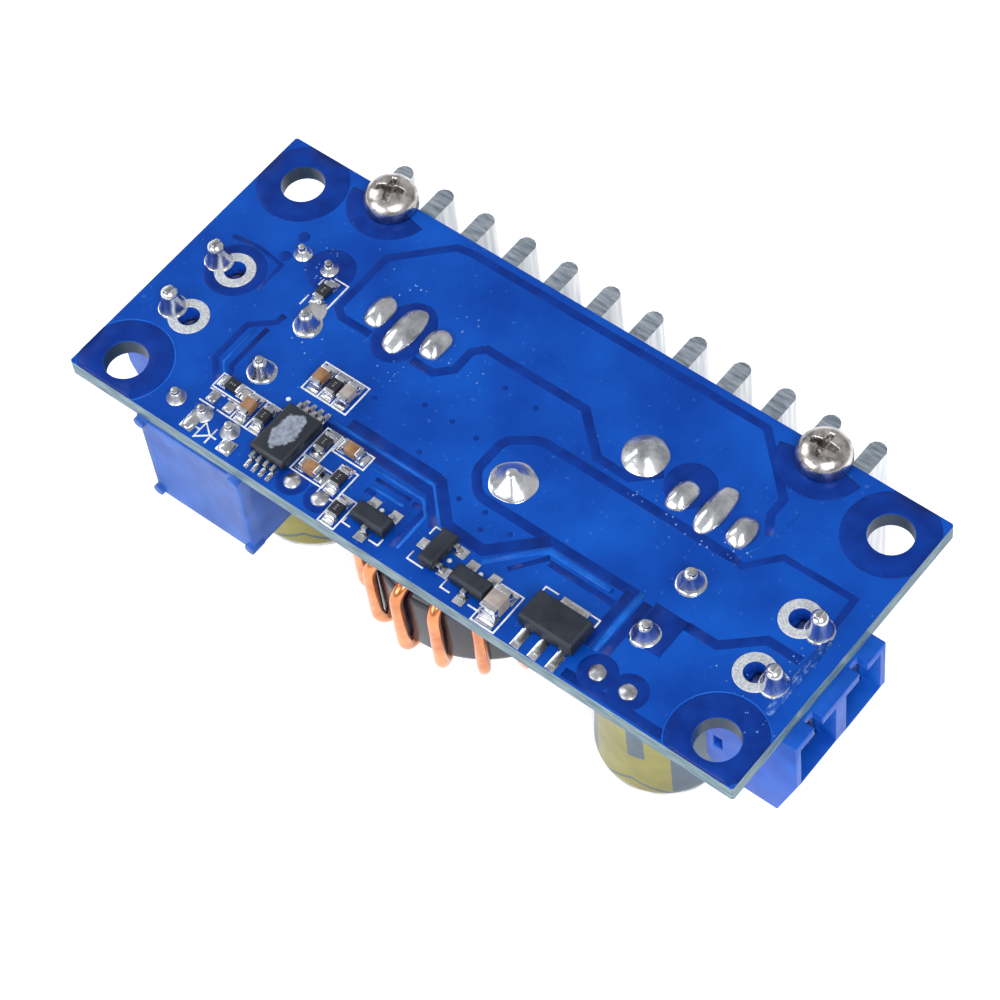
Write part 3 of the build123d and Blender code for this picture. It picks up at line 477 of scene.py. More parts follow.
# %% The board's lacquer
board = Finish("board_lacquer", rgb(6, 70, 172), roughness=0.3)
board.set("Specular IOR Level", 0.16)
cloud = board.noise(7.0, 4.0)
fine = board.noise(0.35, 3.0)
clouded = board.ramp(cloud, (0.35, 0.0), (0.7, 1.0))
pour = board.blend(clouded, rgb(2, 60, 156), rgb(8, 82, 186))
speck = board.ramp(board.noise(0.45, 3.0), (0.66, 0.0), (0.72, 1.0))
pour = board.blend(board.math("MULTIPLY", speck, 0.3), pour, rgb(80, 130, 200))
height = board.part(board.millimetres(), 2)
middle = board.math("ABSOLUTE", board.math("ADD", height, BOARD_THICK / 2))
on_edge = board.math("LESS_THAN", middle, BOARD_THICK / 2 - 0.03)
glass = board.noise(0.25, 3.0, stretch=(0.15, 0.15, 1.0))
woven = board.ramp(glass, (0.35, 0.0), (0.65, 1.0))
fibre = board.blend(woven, rgb(74, 106, 122), rgb(126, 150, 158))

# The walls of holes lie inside the outline. Those of the mounting holes get a dark painted
# shade, and those of the wire holes, nearer the board's middle line, a painted reflection
# of the blue terminals below.
place = board.millimetres(shift=(ORIGIN_X - BOARD_LONG / 2, ORIGIN_Y - BOARD_WIDE / 2, 0))
along = board.math("ABSOLUTE", board.part(place, 0))
across = board.math("ABSOLUTE", board.part(place, 1))
within_length = board.math("LESS_THAN", along, BOARD_LONG / 2 - 0.3)
within_width = board.math("LESS_THAN", across, BOARD_WIDE / 2 - 0.3)
inside = board.math("MULTIPLY", within_length, within_width)
by_mount = board.math("GREATER_THAN", across, 7.0)
# Painted light on the hole walls: dark shade in the mounting holes, blue reflection of the
# terminals in the wire holes.
wall = board.blend(by_mount, rgb(16, 84, 200), rgb(44, 62, 82))
fibre = board.blend(inside, fibre, wall)
board.set("Base Color", board.blend(on_edge, pour, fibre))
board.set("Roughness", board.math("MULTIPLY_ADD", cloud, 0.25, 0.22))
board.bump(fine, 0.02, 0.5)


def lacquer(name, dark, light, roughness=0.3):
    """Lacquer over bare laminate or over a trace, in two close blues."""
    finish = Finish(name, dark, roughness=roughness)
    finish.set("Specular IOR Level", 0.16)
    mix = finish.ramp(finish.noise(1.6, 4.0), (0.35, 0.0), (0.65, 1.0))
    finish.set("Base Color", finish.blend(mix, dark, light))
    finish.bump(finish.noise(0.3, 3.0), 0.02, 0.5)
    return finish


gap_finish = lacquer("lacquer_over_laminate", rgb(2, 42, 126), rgb(5, 54, 146))
trace_finish = lacquer("lacquer_over_trace", rgb(10, 82, 184), rgb(26, 104, 206))
haze_finish = lacquer("scratched_lacquer", rgb(6, 66, 160), rgb(10, 80, 180), 0.5)
scratch = haze_finish.noise(0.35, 5.0, stretch=(1.0, 0.5, 1.0), rough=0.75)
scratch = haze_finish.ramp(scratch, (0.5, 0.0), (0.68, 1.0))
haze_finish.set("Base Color", haze_finish.blend(scratch, rgb(6, 68, 164), rgb(120, 156, 206)))
speck_finish = lacquer("dried_flux", rgb(20, 84, 178), rgb(128, 164, 212), 0.5)
ink = Finish("white_ink", rgb(226, 230, 236), roughness=0.6)
worn = ink.ramp(ink.noise(0.3, 4.0), (0.25, 0.0), (0.5, 1.0))
ink.set("Base Color", ink.blend(worn, rgb(150, 172, 212), rgb(232, 235, 240)))
ink.bump(ink.noise(0.15), 0.01, 0.4)
print("board finishes are ready")

# %% [markdown]
# ## Metals
#
# Solder, tin and nickel keep a metal's shine, and only their tone and polish wander. The
# heatsink tells sawn faces from drawn ones by the direction they face, because the saw
# cuts its ends and the die draws its sides. Its upward ends are also painted darker and
# bluer as shade, under their real saw strokes.

# %% Metals
def metal(name, dark, light, roughness=0.3, size=0.6, bump=0.02, spread=0.2, shine=1.0):
    """A metal whose colour wanders between two tones, with uneven polish."""
    finish = Finish(name, light, roughness=roughness, metallic=shine)
    blobs = finish.noise(size, 4.0, rough=0.6)
    tone = finish.ramp(blobs, (0.35, 0.0), (0.62, 1.0))
    finish.set("Base Color", finish.blend(tone, dark, light))
    finish.set("Roughness", finish.math("MULTIPLY_ADD", blobs, spread, roughness - spread / 2))
    finish.bump(finish.noise(size * 0.4, 3.0), bump, 0.6)
    return finish


tin = metal("tinned_metal", rgb(150, 152, 156), rgb(206, 207, 208), 0.32)
ring_tin = metal(
    "tinned_ring_metal", rgb(168, 174, 182), rgb(218, 222, 228), 0.55, 0.14, shine=0.35)
solder = metal("bright_solder", rgb(172, 176, 184), rgb(238, 240, 244), 0.22, 1.6, 0.03, 0.12)
dull_solder = metal("dull_solder", rgb(150, 152, 158), rgb(206, 208, 212), 0.4, 0.8, 0.03)
nickel = metal("nickel_plate", rgb(142, 138, 137), rgb(222, 218, 216), 0.24, 0.9, 0.01)
clamp_metal = metal("clamp_plate", rgb(140, 142, 146), rgb(200, 200, 202), 0.3, 1.2, 0.01)
brass = metal("brass", rgb(160, 116, 50), rgb(210, 168, 92), 0.3, 0.8)
can_metal = metal("can_aluminium", rgb(170, 172, 175), rgb(214, 215, 216), 0.35, 2.0, 0.01)
copper = metal("enamelled_copper", rgb(192, 112, 66), rgb(230, 152, 100), 0.24, 2.4, 0.005, 0.1)
copper.set("Coat Weight", 0.5)

aluminium = Finish("extruded_aluminium", rgb(205, 208, 212), roughness=0.4, metallic=0.85)
upward = aluminium.part(aluminium.add("NewGeometry").outputs["Normal"], 2)
# Faces that look up get a painted shade: a darker, bluer tone, with real saw strokes in it.
upward_painted_shade = aluminium.ramp(upward, (0.6, 0.0), (0.9, 1.0))
strokes = aluminium.noise(0.26, 4.0, stretch=(0.16, 1.0, 1.0), rough=0.65)
sawn_tone = aluminium.ramp(strokes, (0.3, 0.0), (0.7, 1.0))
sawn_end_with_painted_shade = aluminium.blend(sawn_tone, rgb(118, 134, 152), rgb(206, 216, 226))
drawn = aluminium.noise(0.4, 3.0, stretch=(1.0, 1.0, 0.05))
drawn_tone = aluminium.ramp(drawn, (0.3, 0.0), (0.7, 1.0))
side_face = aluminium.blend(drawn_tone, rgb(196, 200, 206), rgb(236, 238, 240))
aluminium.set("Base Color", aluminium.blend(upward_painted_shade, side_face, sawn_end_with_painted_shade))
aluminium.set("Roughness", aluminium.math("MULTIPLY_ADD", strokes, 0.25, 0.3))
aluminium.bump(aluminium.math("ADD", strokes, drawn), 0.02, 0.5)
print("metals are ready")

# %% [markdown]
# ## Mouldings and printed film
#
# Moulded plastic, rubber, ceramic and coats share one recipe: a fine grain in the bump
# and soft clouds in the colour. The control chip also has a pale smear, as if wiped,
# which is a ragged ellipse about its middle.

# %% Mouldings, coats and films
def moulded(name, dark, light, roughness=0.5, size=0.2, bump=0.015, gloss=0.4):
    """Moulded plastic, rubber or ceramic: fine grain and faint clouding."""
    finish = Finish(name, light, roughness=roughness)
    finish.set("Specular IOR Level", gloss)
    clouds = finish.ramp(finish.noise(size * 12, 3.0), (0.3, 0.0), (0.7, 1.0))
    finish.set("Base Color", finish.blend(clouds, dark, light))
    grain = finish.noise(size * 3)
    finish.set("Roughness", finish.math("MULTIPLY_ADD", grain, 0.2, roughness - 0.1))
    finish.bump(finish.noise(size, 4.0), bump, 0.6)
    return finish


mould = moulded("black_mould", rgb(24, 30, 40), rgb(40, 48, 60), 0.5, 0.12)
blue_mould = moulded("blue_mould", rgb(6, 74, 180), rgb(22, 98, 206), 0.4, gloss=0.25)
trimmer_blue = moulded("trimmer_blue", rgb(36, 80, 164), rgb(58, 106, 194), 0.42, gloss=0.25)
core_finish = moulded("core_coat", rgb(10, 12, 26), rgb(26, 30, 48), 0.2, 0.4, 0.02, 0.5)
grey_rubber = moulded("grey_rubber", rgb(146, 152, 150), rgb(170, 174, 172), 0.75)
black_rubber = moulded("black_rubber", rgb(20, 20, 20), rgb(32, 32, 32), 0.75)
lens = moulded("red_lens", rgb(140, 16, 14), rgb(176, 32, 26), 0.2)
tan = moulded("tan_ceramic", rgb(128, 92, 64), rgb(170, 132, 98), 0.45, 0.08)
pale = moulded("pale_ceramic", rgb(140, 130, 126), rgb(182, 172, 168), 0.45, 0.08)
black_coat = moulded("resistor_coat", rgb(18, 20, 26), rgb(34, 37, 46), 0.3, 0.1, 0.01, 0.6)
mark = moulded("pale_mark", rgb(176, 178, 184), rgb(206, 208, 212), 0.6, 0.05)

smeared = Finish("handled_chip_mould", rgb(30, 31, 34), roughness=0.5)
chip_place = smeared.millimetres(shift=(ORIGIN_X - CHIP_SPOT[0], ORIGIN_Y - CHIP_SPOT[1], 0))
chip_x = smeared.math("DIVIDE", smeared.part(chip_place, 0), 0.95)
chip_y = smeared.math("DIVIDE", smeared.part(chip_place, 1), 1.65)
square_y = smeared.math("MULTIPLY", chip_y, chip_y)
far_out = smeared.math("MULTIPLY_ADD", chip_x, chip_x, square_y)
edge = smeared.math("MULTIPLY_ADD", smeared.noise(0.7, 4.0, rough=0.6), 1.6, 0.25)
ragged = smeared.math("SUBTRACT", edge, far_out)
smear = smeared.ramp(ragged, (0.0, 0.0), (0.22, 1.0))
streak = smeared.ramp(smeared.noise(0.35, 4.0, rough=0.7), (0.3, 0.45), (0.6, 1.0))
haze = smeared.math("MULTIPLY", smeared.math("MULTIPLY", smear, streak), 0.85)
smeared.set("Base Color", smeared.blend(haze, rgb(28, 35, 46), rgb(158, 168, 186)))
smeared.set("Roughness", smeared.math("MULTIPLY_ADD", smear, 0.25, 0.4))
smeared.bump(smeared.noise(0.12, 4.0), 0.015, 0.6)
print("mouldings are ready")

# %% [markdown]
# A capacitor's sleeve is printed in two colours. The fields here are plain: gold between
# two angles about the can's axis, slate elsewhere, with one bar and one bent line.

# %% Sleeve film
def sleeve_finish(name, x, y, turn, half):
    """Printed film round a can: the angle a = atan2(y, x) about the can's axis picks
    slate fields to the left and right of a gold one, with a plain slate bar in it."""
    finish = Finish(name, rgb(176, 164, 76), roughness=0.3)
    place = finish.millimetres()
    dx = finish.math("SUBTRACT", finish.part(place, 0), x - ORIGIN_X)
    dy = finish.math("SUBTRACT", finish.part(place, 1), y - ORIGIN_Y)
    c, s = math.cos(math.radians(turn)), math.sin(math.radians(turn))
    along = finish.math("ADD", finish.math("MULTIPLY", dx, c), finish.math("MULTIPLY", dy, s))
    across = finish.math("MULTIPLY_ADD", dy, c, finish.math("MULTIPLY", dx, -s))
    signed = finish.math("ARCTAN2", across, along)
    angle = finish.math("ABSOLUTE", signed)
    field = finish.math("GREATER_THAN", angle, half)
    depth = finish.part(place, 2)
    off_bar = finish.math("ABSOLUTE", finish.math("SUBTRACT", signed, 0.17))
    bar = finish.math("LESS_THAN", off_bar, 0.13)
    high = finish.math("GREATER_THAN", depth, -13.2)
    off_peak = finish.math("ABSOLUTE", finish.math("SUBTRACT", signed, 0.05))
    slant = finish.math("MULTIPLY_ADD", off_peak, 2.6, 16.6)
    off_line = finish.math("ABSOLUTE", finish.math("ADD", depth, slant))
    line = finish.math("LESS_THAN", off_line, 0.14)
    dark = finish.math("MAXIMUM", field, finish.math("MULTIPLY", bar, high))
    dark = finish.math("MAXIMUM", dark, line)
    cloud = finish.ramp(finish.noise(3.0, 3.0), (0.3, 0.0), (0.7, 1.0))
    gold = finish.blend(cloud, rgb(120, 114, 32), rgb(148, 142, 52))
    slate = finish.blend(cloud, rgb(44, 70, 88), rgb(68, 94, 110))
    finish.set("Base Color", finish.blend(dark, gold, slate))
    finish.set("Roughness", finish.math("MULTIPLY_ADD", finish.noise(1.0), 0.2, 0.2))
    finish.bump(finish.noise(0.8, 3.0), 0.03, 0.4)
    return finish


print("sleeve film is ready")

# %% [markdown]
# ## Lacquer over the copper pattern
#
# On the real board the copper is etched into broad fields with narrow gaps, and blue
# lacquer covers both. Over bare laminate it looks darker, and over a lone trace a
# little brighter. Each gap and trace is a strip along its course.

# %% Gaps between the copper fields
# Heights above the board's face of the tops of gaps, traces and ink.
GAP_Z, TRACE_Z, INK_Z = 0.004, 0.034, 0.05
# Width and course of each narrow gap.
gap_courses = [
    (0.75, [(16.2, 14.27), (13.5, 14.27), (12.77, 14.83), (12.77, 20.2), (16.4, 23.9),
            (17.6, 24.1), (43.9, 24.1), (48.3, 20), (48.3, 18.5), (49.2, 17)]),
    (0.8, [(20.0, 14.27), (22, 14.27), (23.07, 15.4), (23.07, 17.27), (23.83, 18.07),
            (32.67, 18.07), (35.83, 15.33), (38.67, 15.27), (40.4, 16.9)]),
    (0.85, rounded_path([(48.3, 14.2), (31.8, 14.2), (29.7, 12.7), (29.7, 9.6), (31.1, 8.1),
                         (44.85, 8.1)], 0.7)),
    (1.0, [(28, 7.5), (28.3, 7.45), (30.9, 4.95), (34.2, 4.8), (37.5, 8.1)]),
    (0.9, [(20, 7.6), (28, 7.6)]),
    (0.85, [(18.4, 6.4), (28.3, 6.4), (30.3, 4.3)]),
    (0.6, [(38.5, 6.65), (44, 6.65)]),
    (0.5, [(38.3, 7.0), (36.5, 4.6)]),
    (0.6, [(10.1, 12), (10.0, 11.2), (8.4, 9.8), (8.4, 6.3), (9.8, 4.9)]),
    (0.5, [(9.85, 10.4), (9.85, 6.4), (10.6, 5.6)]),
    (0.8, [(44.42, 8.0), (44.42, 3.0)]),
    (0.8, [(45.88, 8.0), (45.88, 3.2)]),
    (0.8, [(49, 8.1), (51.5, 8.1), (54, 10.35), (56.7, 10.35)]),
    (0.8, [(44.5, 0.55), (52.8, 0.55)]),
    (0.6, [(48.3, 14.2), (49.2, 14), (51, 16.2), (56.8, 16.3), (57, 12.5)]),
    (0.5, [(27.9, 4.9), (28.9, 5.2), (28.9, 1.4)]),
    (0.4, [(24.5, 5.05), (27.6, 5.05)]),
    (0.5, [(24.5, 3.95), (25.3, 3.95)]),
    (0.4, [(2.2, 15.3), (4.5, 15.6), (6.9, 15.3), (6.9, 12.6)]),
]
gaps = [ribbon(course, width, GAP_Z) for width, course in gap_courses]
print("narrow gaps:", len(gaps))

# %% Rings kept free of copper
# Each has its middle, radius and width. The screws' rings are open at the board's edge.
clear_rings = [(*spot, 2.6, 1.84) for spot in MOUNT_HOLES]
clear_rings += [(*spot, 1.0, 0.9) for spot in TEST_SPOTS[2:]]
clear_rings += [(4.45, 13.0, 1.95, 0.8), (10.15, 17.0, 1.2, 1.4), (42.5, 17.2, 1.2, 1.4)]
clear_rings += [(*spot, 0.95, 0.5) for spot in TEST_SPOTS[:2]]
gaps += [ribbon(circle(x, y, r), w, GAP_Z, closed=True) for x, y, r, w in clear_rings]
gaps += [ribbon(circle(*spot, 2.3, start, start + 164, 30), 2.2, GAP_Z)
         for spot, start in zip(SCREW_SPOTS, (187, 189))]
# An oval round a power joint, then one broad field and two round patches.
oval = circle(0, 0, 1.0, count=40) * np.array([1.5, 2.3]) + np.array([18.1, 15.8])
gaps.append(ribbon(oval, 1.1, GAP_Z, closed=True))
gaps.append(ribbon([(46.3, 6.75), (49.0, 6.75)], 3.3, GAP_Z))
gaps += [disc(6.6, 16.1, 0.45, GAP_Z), disc(6.6, 18.2, 0.45, GAP_Z)]
print("gaps and rings:", len(gaps))

# %% Traces and vias
# Width and course of each trace. The last trace and the rings are thin lines.
trace_courses = [
    (0.5, [(43.2, 7.38), (38.0, 7.4), (37.2, 6.75), (34.7, 4.0)]),
    (0.28, [(19, 7.0), (28.1, 7.0), (30.6, 4.55), (32.2, 4.4)]),
    (0.3, [(23.8, 5.62), (28.3, 5.62), (29.3, 4.6), (29.3, 1.5)]),
    (0.3, [(24.5, 4.4), (27.5, 4.4)]),
    (0.25, [(9.15, 9.9), (9.15, 6.4), (10.3, 5.2)]),
    (0.5, [(45.15, 8.4), (45.15, 3.0)]),
]
traces = [ribbon(course, width, TRACE_Z) for width, course in trace_courses]
traces.append(ribbon([(50, 20), (49.3, 16), (48.9, 15.2)], 0.1, TRACE_Z, 0.03))
traces += [ribbon(circle(*spot, 3.6), 0.12, TRACE_Z, 0.03, closed=True)
           for spot in MOUNT_HOLES[1::-1]]
vias = [(20.0, 10.2), (23.3, 11.8), (25.75, 11.8), (28, 11.7), (25.5, 8.5), (30.2, 7.1),
        (32.4, 7.3), (34.9, 6.9), (33.0, 6.0), (43.2, 7.35), (27, 16.2), (29.8, 16.1)]
gaps += [disc(x, y, 0.2, GAP_Z, 16) for x, y in vias]
piece("copper_gaps", stacked(gaps), gap_finish)
piece("copper_traces", stacked(traces), trace_finish)
piece("scratched_strip", [ribbon([(57.3, 5.8), (57.3, 12.8)], 0.7, TRACE_Z + 0.02)], haze_finish)
print("gaps:", len(gaps), "traces:", len(traces))

# %% Specks of dried flux
# Flux spits as it boils, so the specks lie scattered round the joints.
spits = np.array([
    (9.4, 18.7), (9.3, 16.2), (16.0, 19.0), (21.6, 18.9), (23.9, 16.3), (12.4, 11.4),
    (40.0, 14.1), (43.0, 14.0), (46.0, 14.4), (48.6, 15.0), (54.0, 6.2), (56.6, 9.6),
    (57.4, 4.6), (20.0, 12.6)])
specks_chance = np.random.default_rng(3)
places = np.repeat(spits, 8, axis=0) + specks_chance.normal(0, 0.75, (len(spits) * 8, 2))
radii = specks_chance.uniform(0.01, 0.06, len(places))
specks = [disc(x, y, r + 0.05, TRACE_Z, 8) for (x, y), r in zip(places, radii)]
piece("flux_specks", stacked(specks, 0.0001), speck_finish)
print("specks:", len(places))

# %% [markdown]
# ## White ink
#
# A screen print marks each part's place with boxes, corner brackets and dots. No
# letters are printed here.

# %% Printed lines
boxes = [(9.9, 4.35, 12.75, 5.65), (12.75, 2.95, 15.5, 5.6), (15.2, 7.9, 19.25, 10.6),
         (19.0, 3.7, 20.35, 6.35), (20.5, 5.05, 23.3, 6.3), (19.0, 2.25, 21.9, 3.6),
         (21.85, 1.85, 23.3, 4.55), (23.35, 0.1, 24.75, 2.7), (36.93, 0.1, 38.87, 3.45)]
print_lines = [ribbon(oblong(*box), 0.15, INK_Z, 0.03, closed=True) for box in boxes]
open_lines = [
    [(14.13, 2.95), (14.13, 5.6)], [(16.6, 7.9), (16.6, 10.6)], [(17.88, 7.9), (17.88, 10.6)],
    [(9.9, 4.15), (11.3, 4.15)], [(11.55, 4.15), (12.8, 4.15)],
    [(9.9, 2.95), (11.3, 2.95)], [(11.55, 2.95), (12.8, 2.95)],
    [(10.9, 16.6), (12.2, 16.6), (12.2, 13.4), (10.9, 13.4)],
    [(10.3, 15.5), (10.3, 16.1)], [(10.3, 13.4), (10.3, 14.4)],
    [(24.9, 1.4), (24.9, 0.95), (25.6, 0.95)], [(28.1, 1.5), (28.1, 0.9), (27.3, 0.9)],
    [(30.4, 3.7), (30.4, 4.4), (30.9, 4.4)], [(30.4, 2.0), (30.4, 1.3), (31.8, 1.3)],
    [(33.7, 1.6), (33.7, 0.85), (34.5, 0.85)], [(37.0, 1.5), (37.0, 0.85), (36.1, 0.85)],
    [(39.5, 4.6), (39.5, 5.05), (40.6, 5.05)], [(44.1, 4.4), (44.1, 5.05), (43.1, 5.05)],
    [(11.2, 1.0), (11.7, 1.0)], [(12.7, 1.0), (13.2, 1.0)], [(12.7, 0.3), (12.7, 1.7)],
]
print_lines += [ribbon(line, 0.15, INK_Z, 0.03) for line in open_lines]
print_lines.append(ribbon([(11.7, 0.3), (12.6, 1.0), (11.7, 1.7)], 0.15, INK_Z, 0.03, closed=True))
dots = [(26.5, 3.25), (32.87, 2.83), (35.3, 3.2), (15.1, 6.6)]
print_lines += [disc(x, y, 0.2, INK_Z, 16) for x, y in dots]
piece("printed_lines", stacked(print_lines), ink)
print("printed lines:", len(print_lines))

# %% [markdown]
# ## Solder
#
# Solder climbs each lead as a hollow-sided cone and wets its pad. A joint's height
# falls from the lead as h (1 - s)^p, where s runs from lead to rim, and its outline
# wanders a little, as hand-made joints do.

# %% The shape of a joint
chance = np.random.default_rng(7)


def joint(x, y, across, along, height, core, power, square=1.0, base=0.0):
    """A joint about (x, y) with half widths across and along. At core + s (1 - core)
    of them it is z = base + h (1 - s)^p high. Its outline is |cos a|^q, |sin a|^q with
    their signs, so a q under 1 makes it squarer, and it wanders by
    1 + 0.04 sin(2 a + f) + 0.025 sin(5 a + g), where f and g are left to chance."""
    s = np.concatenate([[1.0, 1.0], np.linspace(0.97, 0.02, 16)])
    level = base + height * (1 - s) ** power
    level[0] = base + UNDER
    phase, second = chance.uniform(0, 6.28, 2)
    a = np.linspace(0, 2 * np.pi, 40, endpoint=False)
    out_x = np.sign(np.cos(a)) * np.abs(np.cos(a)) ** square
    out_y = np.sign(np.sin(a)) * np.abs(np.sin(a)) ** square
    wander = 1 + 0.04 * np.sin(2 * a + phase) + 0.025 * np.sin(5 * a + second)
    reach = core + s[:, None] * (1 - core) * wander
    reach[-1] = core * 0.5
    px = x + across * reach * out_x
    py = y + along * reach * out_y
    pz = np.broadcast_to(level[:, None], px.shape)
    return skin(np.stack([px, py, pz], axis=-1))


print("joints can be made")

# %% Joints of the leads
# Middle of a package's three leads, then each joint's width, length and place across.
power_rows = [(18.1, [(1.95, 2.9, 16.25), (2.2, 4.3, 15.95), (1.95, 2.9, 16.3)]),
              (45.1, [(1.9, 2.8, 16.2), (2.0, 4.3, 16.6), (1.9, 2.8, 16.2)])]
power_joints = [joint(centre + step, y, wide / 2, length / 2, 0.75, 0.3, 0.6, 0.8)
                for centre, shapes in power_rows
                for step, (wide, length, y) in zip((-LEAD_PITCH, 0, LEAD_PITCH), shapes)]
piece("power_joints", power_joints, solder, ["solder_power_leads"])
capacitor_joints = [joint(x, y + step, 1.12, 1.12, 1.5, 0.4, 2.0)
                    for x, y in (INPUT_CAN, OUTPUT_CAN) for step in (-2.5, 2.5)]
capacitor_joints.append(joint(11.6, 13.3, 0.9, 1.3, 0.45, 0.5, 1.0))
piece("capacitor_joints", capacitor_joints, solder, ["solder_capacitors"])
terminal_places = [(x, y) for x in PINS_X for y in POLES_Y]
terminal_joints = [joint(x, y, 1.1, 1.1, 2.14, 0.5, 2.2) for x, y in terminal_places]
piece("terminal_joints", terminal_joints, solder, ["solder_terminals"])
trimmer_joints = [joint(11.0 + step, 2.1, 0.75, 0.75, 0.7, 0.45, 1.3)
                  for step in (-LEAD_PITCH, 0, LEAD_PITCH)]
piece("trimmer_joints", trimmer_joints, dull_solder, ["solder_trimmer"])
lamp_joints = [joint(x, 17.0, 0.7, 0.7, 0.6, 0.4, 1.3) for x in (7.53, 7.53 + LEAD_PITCH)]
piece("lamp_joints", lamp_joints, solder, ["solder_lamp"])
inductor_joints = [joint(*COIL_ENDS[0], 1.75, 1.75, 1.3, 0.16, 1.3),
                   joint(*COIL_ENDS[1], 1.75, 1.75, 0.8, 0.3, 0.9)]
piece("inductor_joints", inductor_joints, solder, ["solder_inductor"])
test_domes = [joint(*spot, 0.65, 0.65, 0.3, 0.1, 0.55) for spot in TEST_SPOTS]
piece("test_point_domes", test_domes, dull_solder, ["solder_test_points"])
print("joints of the power packages:", len(power_joints))

# %% Plated rings and bare pads
ring_loop = [(0.83, UNDER), (0.83, 0.06), (0.87, 0.09), (1.5, 0.09), (1.55, 0.05), (1.55, UNDER)]
points, quads, triangles = skin(revolve(ring_loop, 64), closed=True)
rings = [(moved(points, x, y), quads, triangles) for x in WIRE_HOLES_X for y in POLES_Y]
piece("plated_rings", rings, ring_tin, ["wire_hole_rings"], smooth=False)
# Middle, half widths and height of the solder on each bare pad.
bare_pads = [(10.65, 3.65, 0.36, 0.46, 0.14), (12.2, 3.65, 0.36, 0.46, 0.12),
             (10.75, 1.5, 0.52, 1.04, 0.34), (14.25, 0.95, 0.56, 0.56, 0.3)]
pad_solder = [joint(x, y, across, along, high, 0.1, 0.5, 0.6, base=0.08)
              for x, y, across, along, high in bare_pads]
piece("pad_solder", pad_solder, solder)
print("rings:", len(rings), "bare pads:", len(pad_solder))

# %% [markdown]
# ## Fillets at the chips' ends
#
# Melted solder climbs a chip's end in a hollow curve from its pad. Each fillet is a
# short prism with that curve as its top.

# %% Fillets
def fillet(x, y, dx, dy, wide, reach, height):
    """A prism from the chip's end face at (x, y), outward along (dx, dy): its top is
    z = 0.09 + h (1 - s)^2 for s from 0 to 1 over its reach."""
    s = np.linspace(0, 1, 8)
    top = 0.09 + height * (1 - s) ** 2
    ends = np.array([-0.5, -0.46, 0.46, 0.5]) * wide
    fall = np.array([0.75, 1.0, 1.0, 0.75])
    along = np.concatenate([s * reach, [reach, -0.02]]) - 0.01
    level = np.concatenate([top, [0.0, 0.0]])
    px = x + dx * along[None] - dy * ends[:, None]
    py = y + dy * along[None] + dx * ends[:, None]
    pz = np.maximum(level[None] * fall[:, None], 0.0) + np.zeros_like(px)
    return skin(np.stack([px, py, pz], axis=-1))


# Place, whether the chip lies along X, and its height.
chips = [(11.2, 15.1, 0, 0.5), (17.25, 9.2, 0, 0.5), (11.35, 5.05, 1, 0.5),
         (14.85, 4.3, 0, 0.5), (19.8, 5.1, 0, 0.5), (22.55, 3.4, 0, 0.5),
         (24.05, 1.4, 0, 0.5), (16.0, 9.2, 0, 0.8), (13.45, 4.3, 0, 0.8),
         (21.9, 5.7, 1, 0.8), (20.5, 2.9, 1, 0.8), (18.5, 9.2, 0, 0.8)]
fillets = []
for x, y, lies, tall in chips:
    for sign in (-1, 1):
        dx, dy = (sign, 0) if lies else (0, sign)
        fillets.append(fillet(x + dx * 0.8, y + dy * 0.8, dx, dy, 0.9, 0.32, tall * 0.62))
for sign in (-1, 1):
    fillets.append(fillet(37.9, 1.8 + sign * 1.0, 0, sign, 1.35, 0.4, 0.7))
piece("chip_fillets", fillets, solder)
print("fillets:", len(fillets))

# %% Plain bars on the resistors
RESISTOR_TOP = 0.572
marks = []
for x, y, lies, tall in chips[:7]:
    for step in (-0.18, 0.0, 0.18):
        ends = (-0.09, 0.09) if step else (-0.07, 0.05)
        points = np.array([(end, step) for end in ends])
        points = points[:, ::-1] if lies else points
        strip, quads, triangles = ribbon(points + np.array([x, y]), 0.05, 0.02, 0.01)
        marks.append((strip + np.array([0, 0, RESISTOR_TOP]), quads, triangles))
piece("resistor_marks", marks, mark)
print("bars:", len(marks))

# %% [markdown]
# ## The ring inductor
#
# One enamelled wire is wound seventeen times round a coated ring of iron powder. The
# wire bends round the ring's edges in short curves. Its cross rings are set across the
# path, using the direction round the ring as a fixed side, so the tube never twists.

# %% Winding
CORE_X, CORE_Y = 30.9, 8.6
TURNS, TURN_ANGLE, FIRST_ANGLE = 17, 19.6, 70.6


def on_ring(radius, degrees, z):
    """x = core x + r cos a, y = core y + r sin a, z, for arrays of angles."""
    a = np.radians(degrees)
    x, y = CORE_X + radius * np.cos(a), CORE_Y + radius * np.sin(a)
    return np.stack([x, y, np.full_like(a, z)], axis=-1)


outer_angle = FIRST_ANGLE + np.arange(TURNS) * TURN_ANGLE
inner_angle = outer_angle + TURN_ANGLE / 2
OUTER_R, INNER_R, WIRE_HIGH, WIRE_LOW, WIRE_R = 9.05, 4.35, -2.1, -9.9, 0.49
turns = np.stack([
    on_ring(OUTER_R, outer_angle, WIRE_LOW), on_ring(OUTER_R, outer_angle, WIRE_HIGH),
    on_ring(INNER_R, inner_angle, WIRE_HIGH), on_ring(INNER_R, inner_angle, WIRE_LOW),
], axis=1).reshape(-1, 3)
first_end = [(*COIL_ENDS[0], 0.9), (*COIL_ENDS[0], WIRE_LOW)]
last_end = [(*COIL_ENDS[1], WIRE_LOW), (*COIL_ENDS[1], 0.4)]
wire_corners = np.vstack([first_end, turns, last_end])
WIRE_BEND = 1.7
wire_path = rounded_path(wire_corners, WIRE_BEND, 9)
forward_way = unit(np.gradient(wire_path, axis=0))
flat_way = wire_path - np.array([CORE_X, CORE_Y, 0])
round_way = unit(np.column_stack([-flat_way[:, 1], flat_way[:, 0], np.zeros(len(flat_way))]))
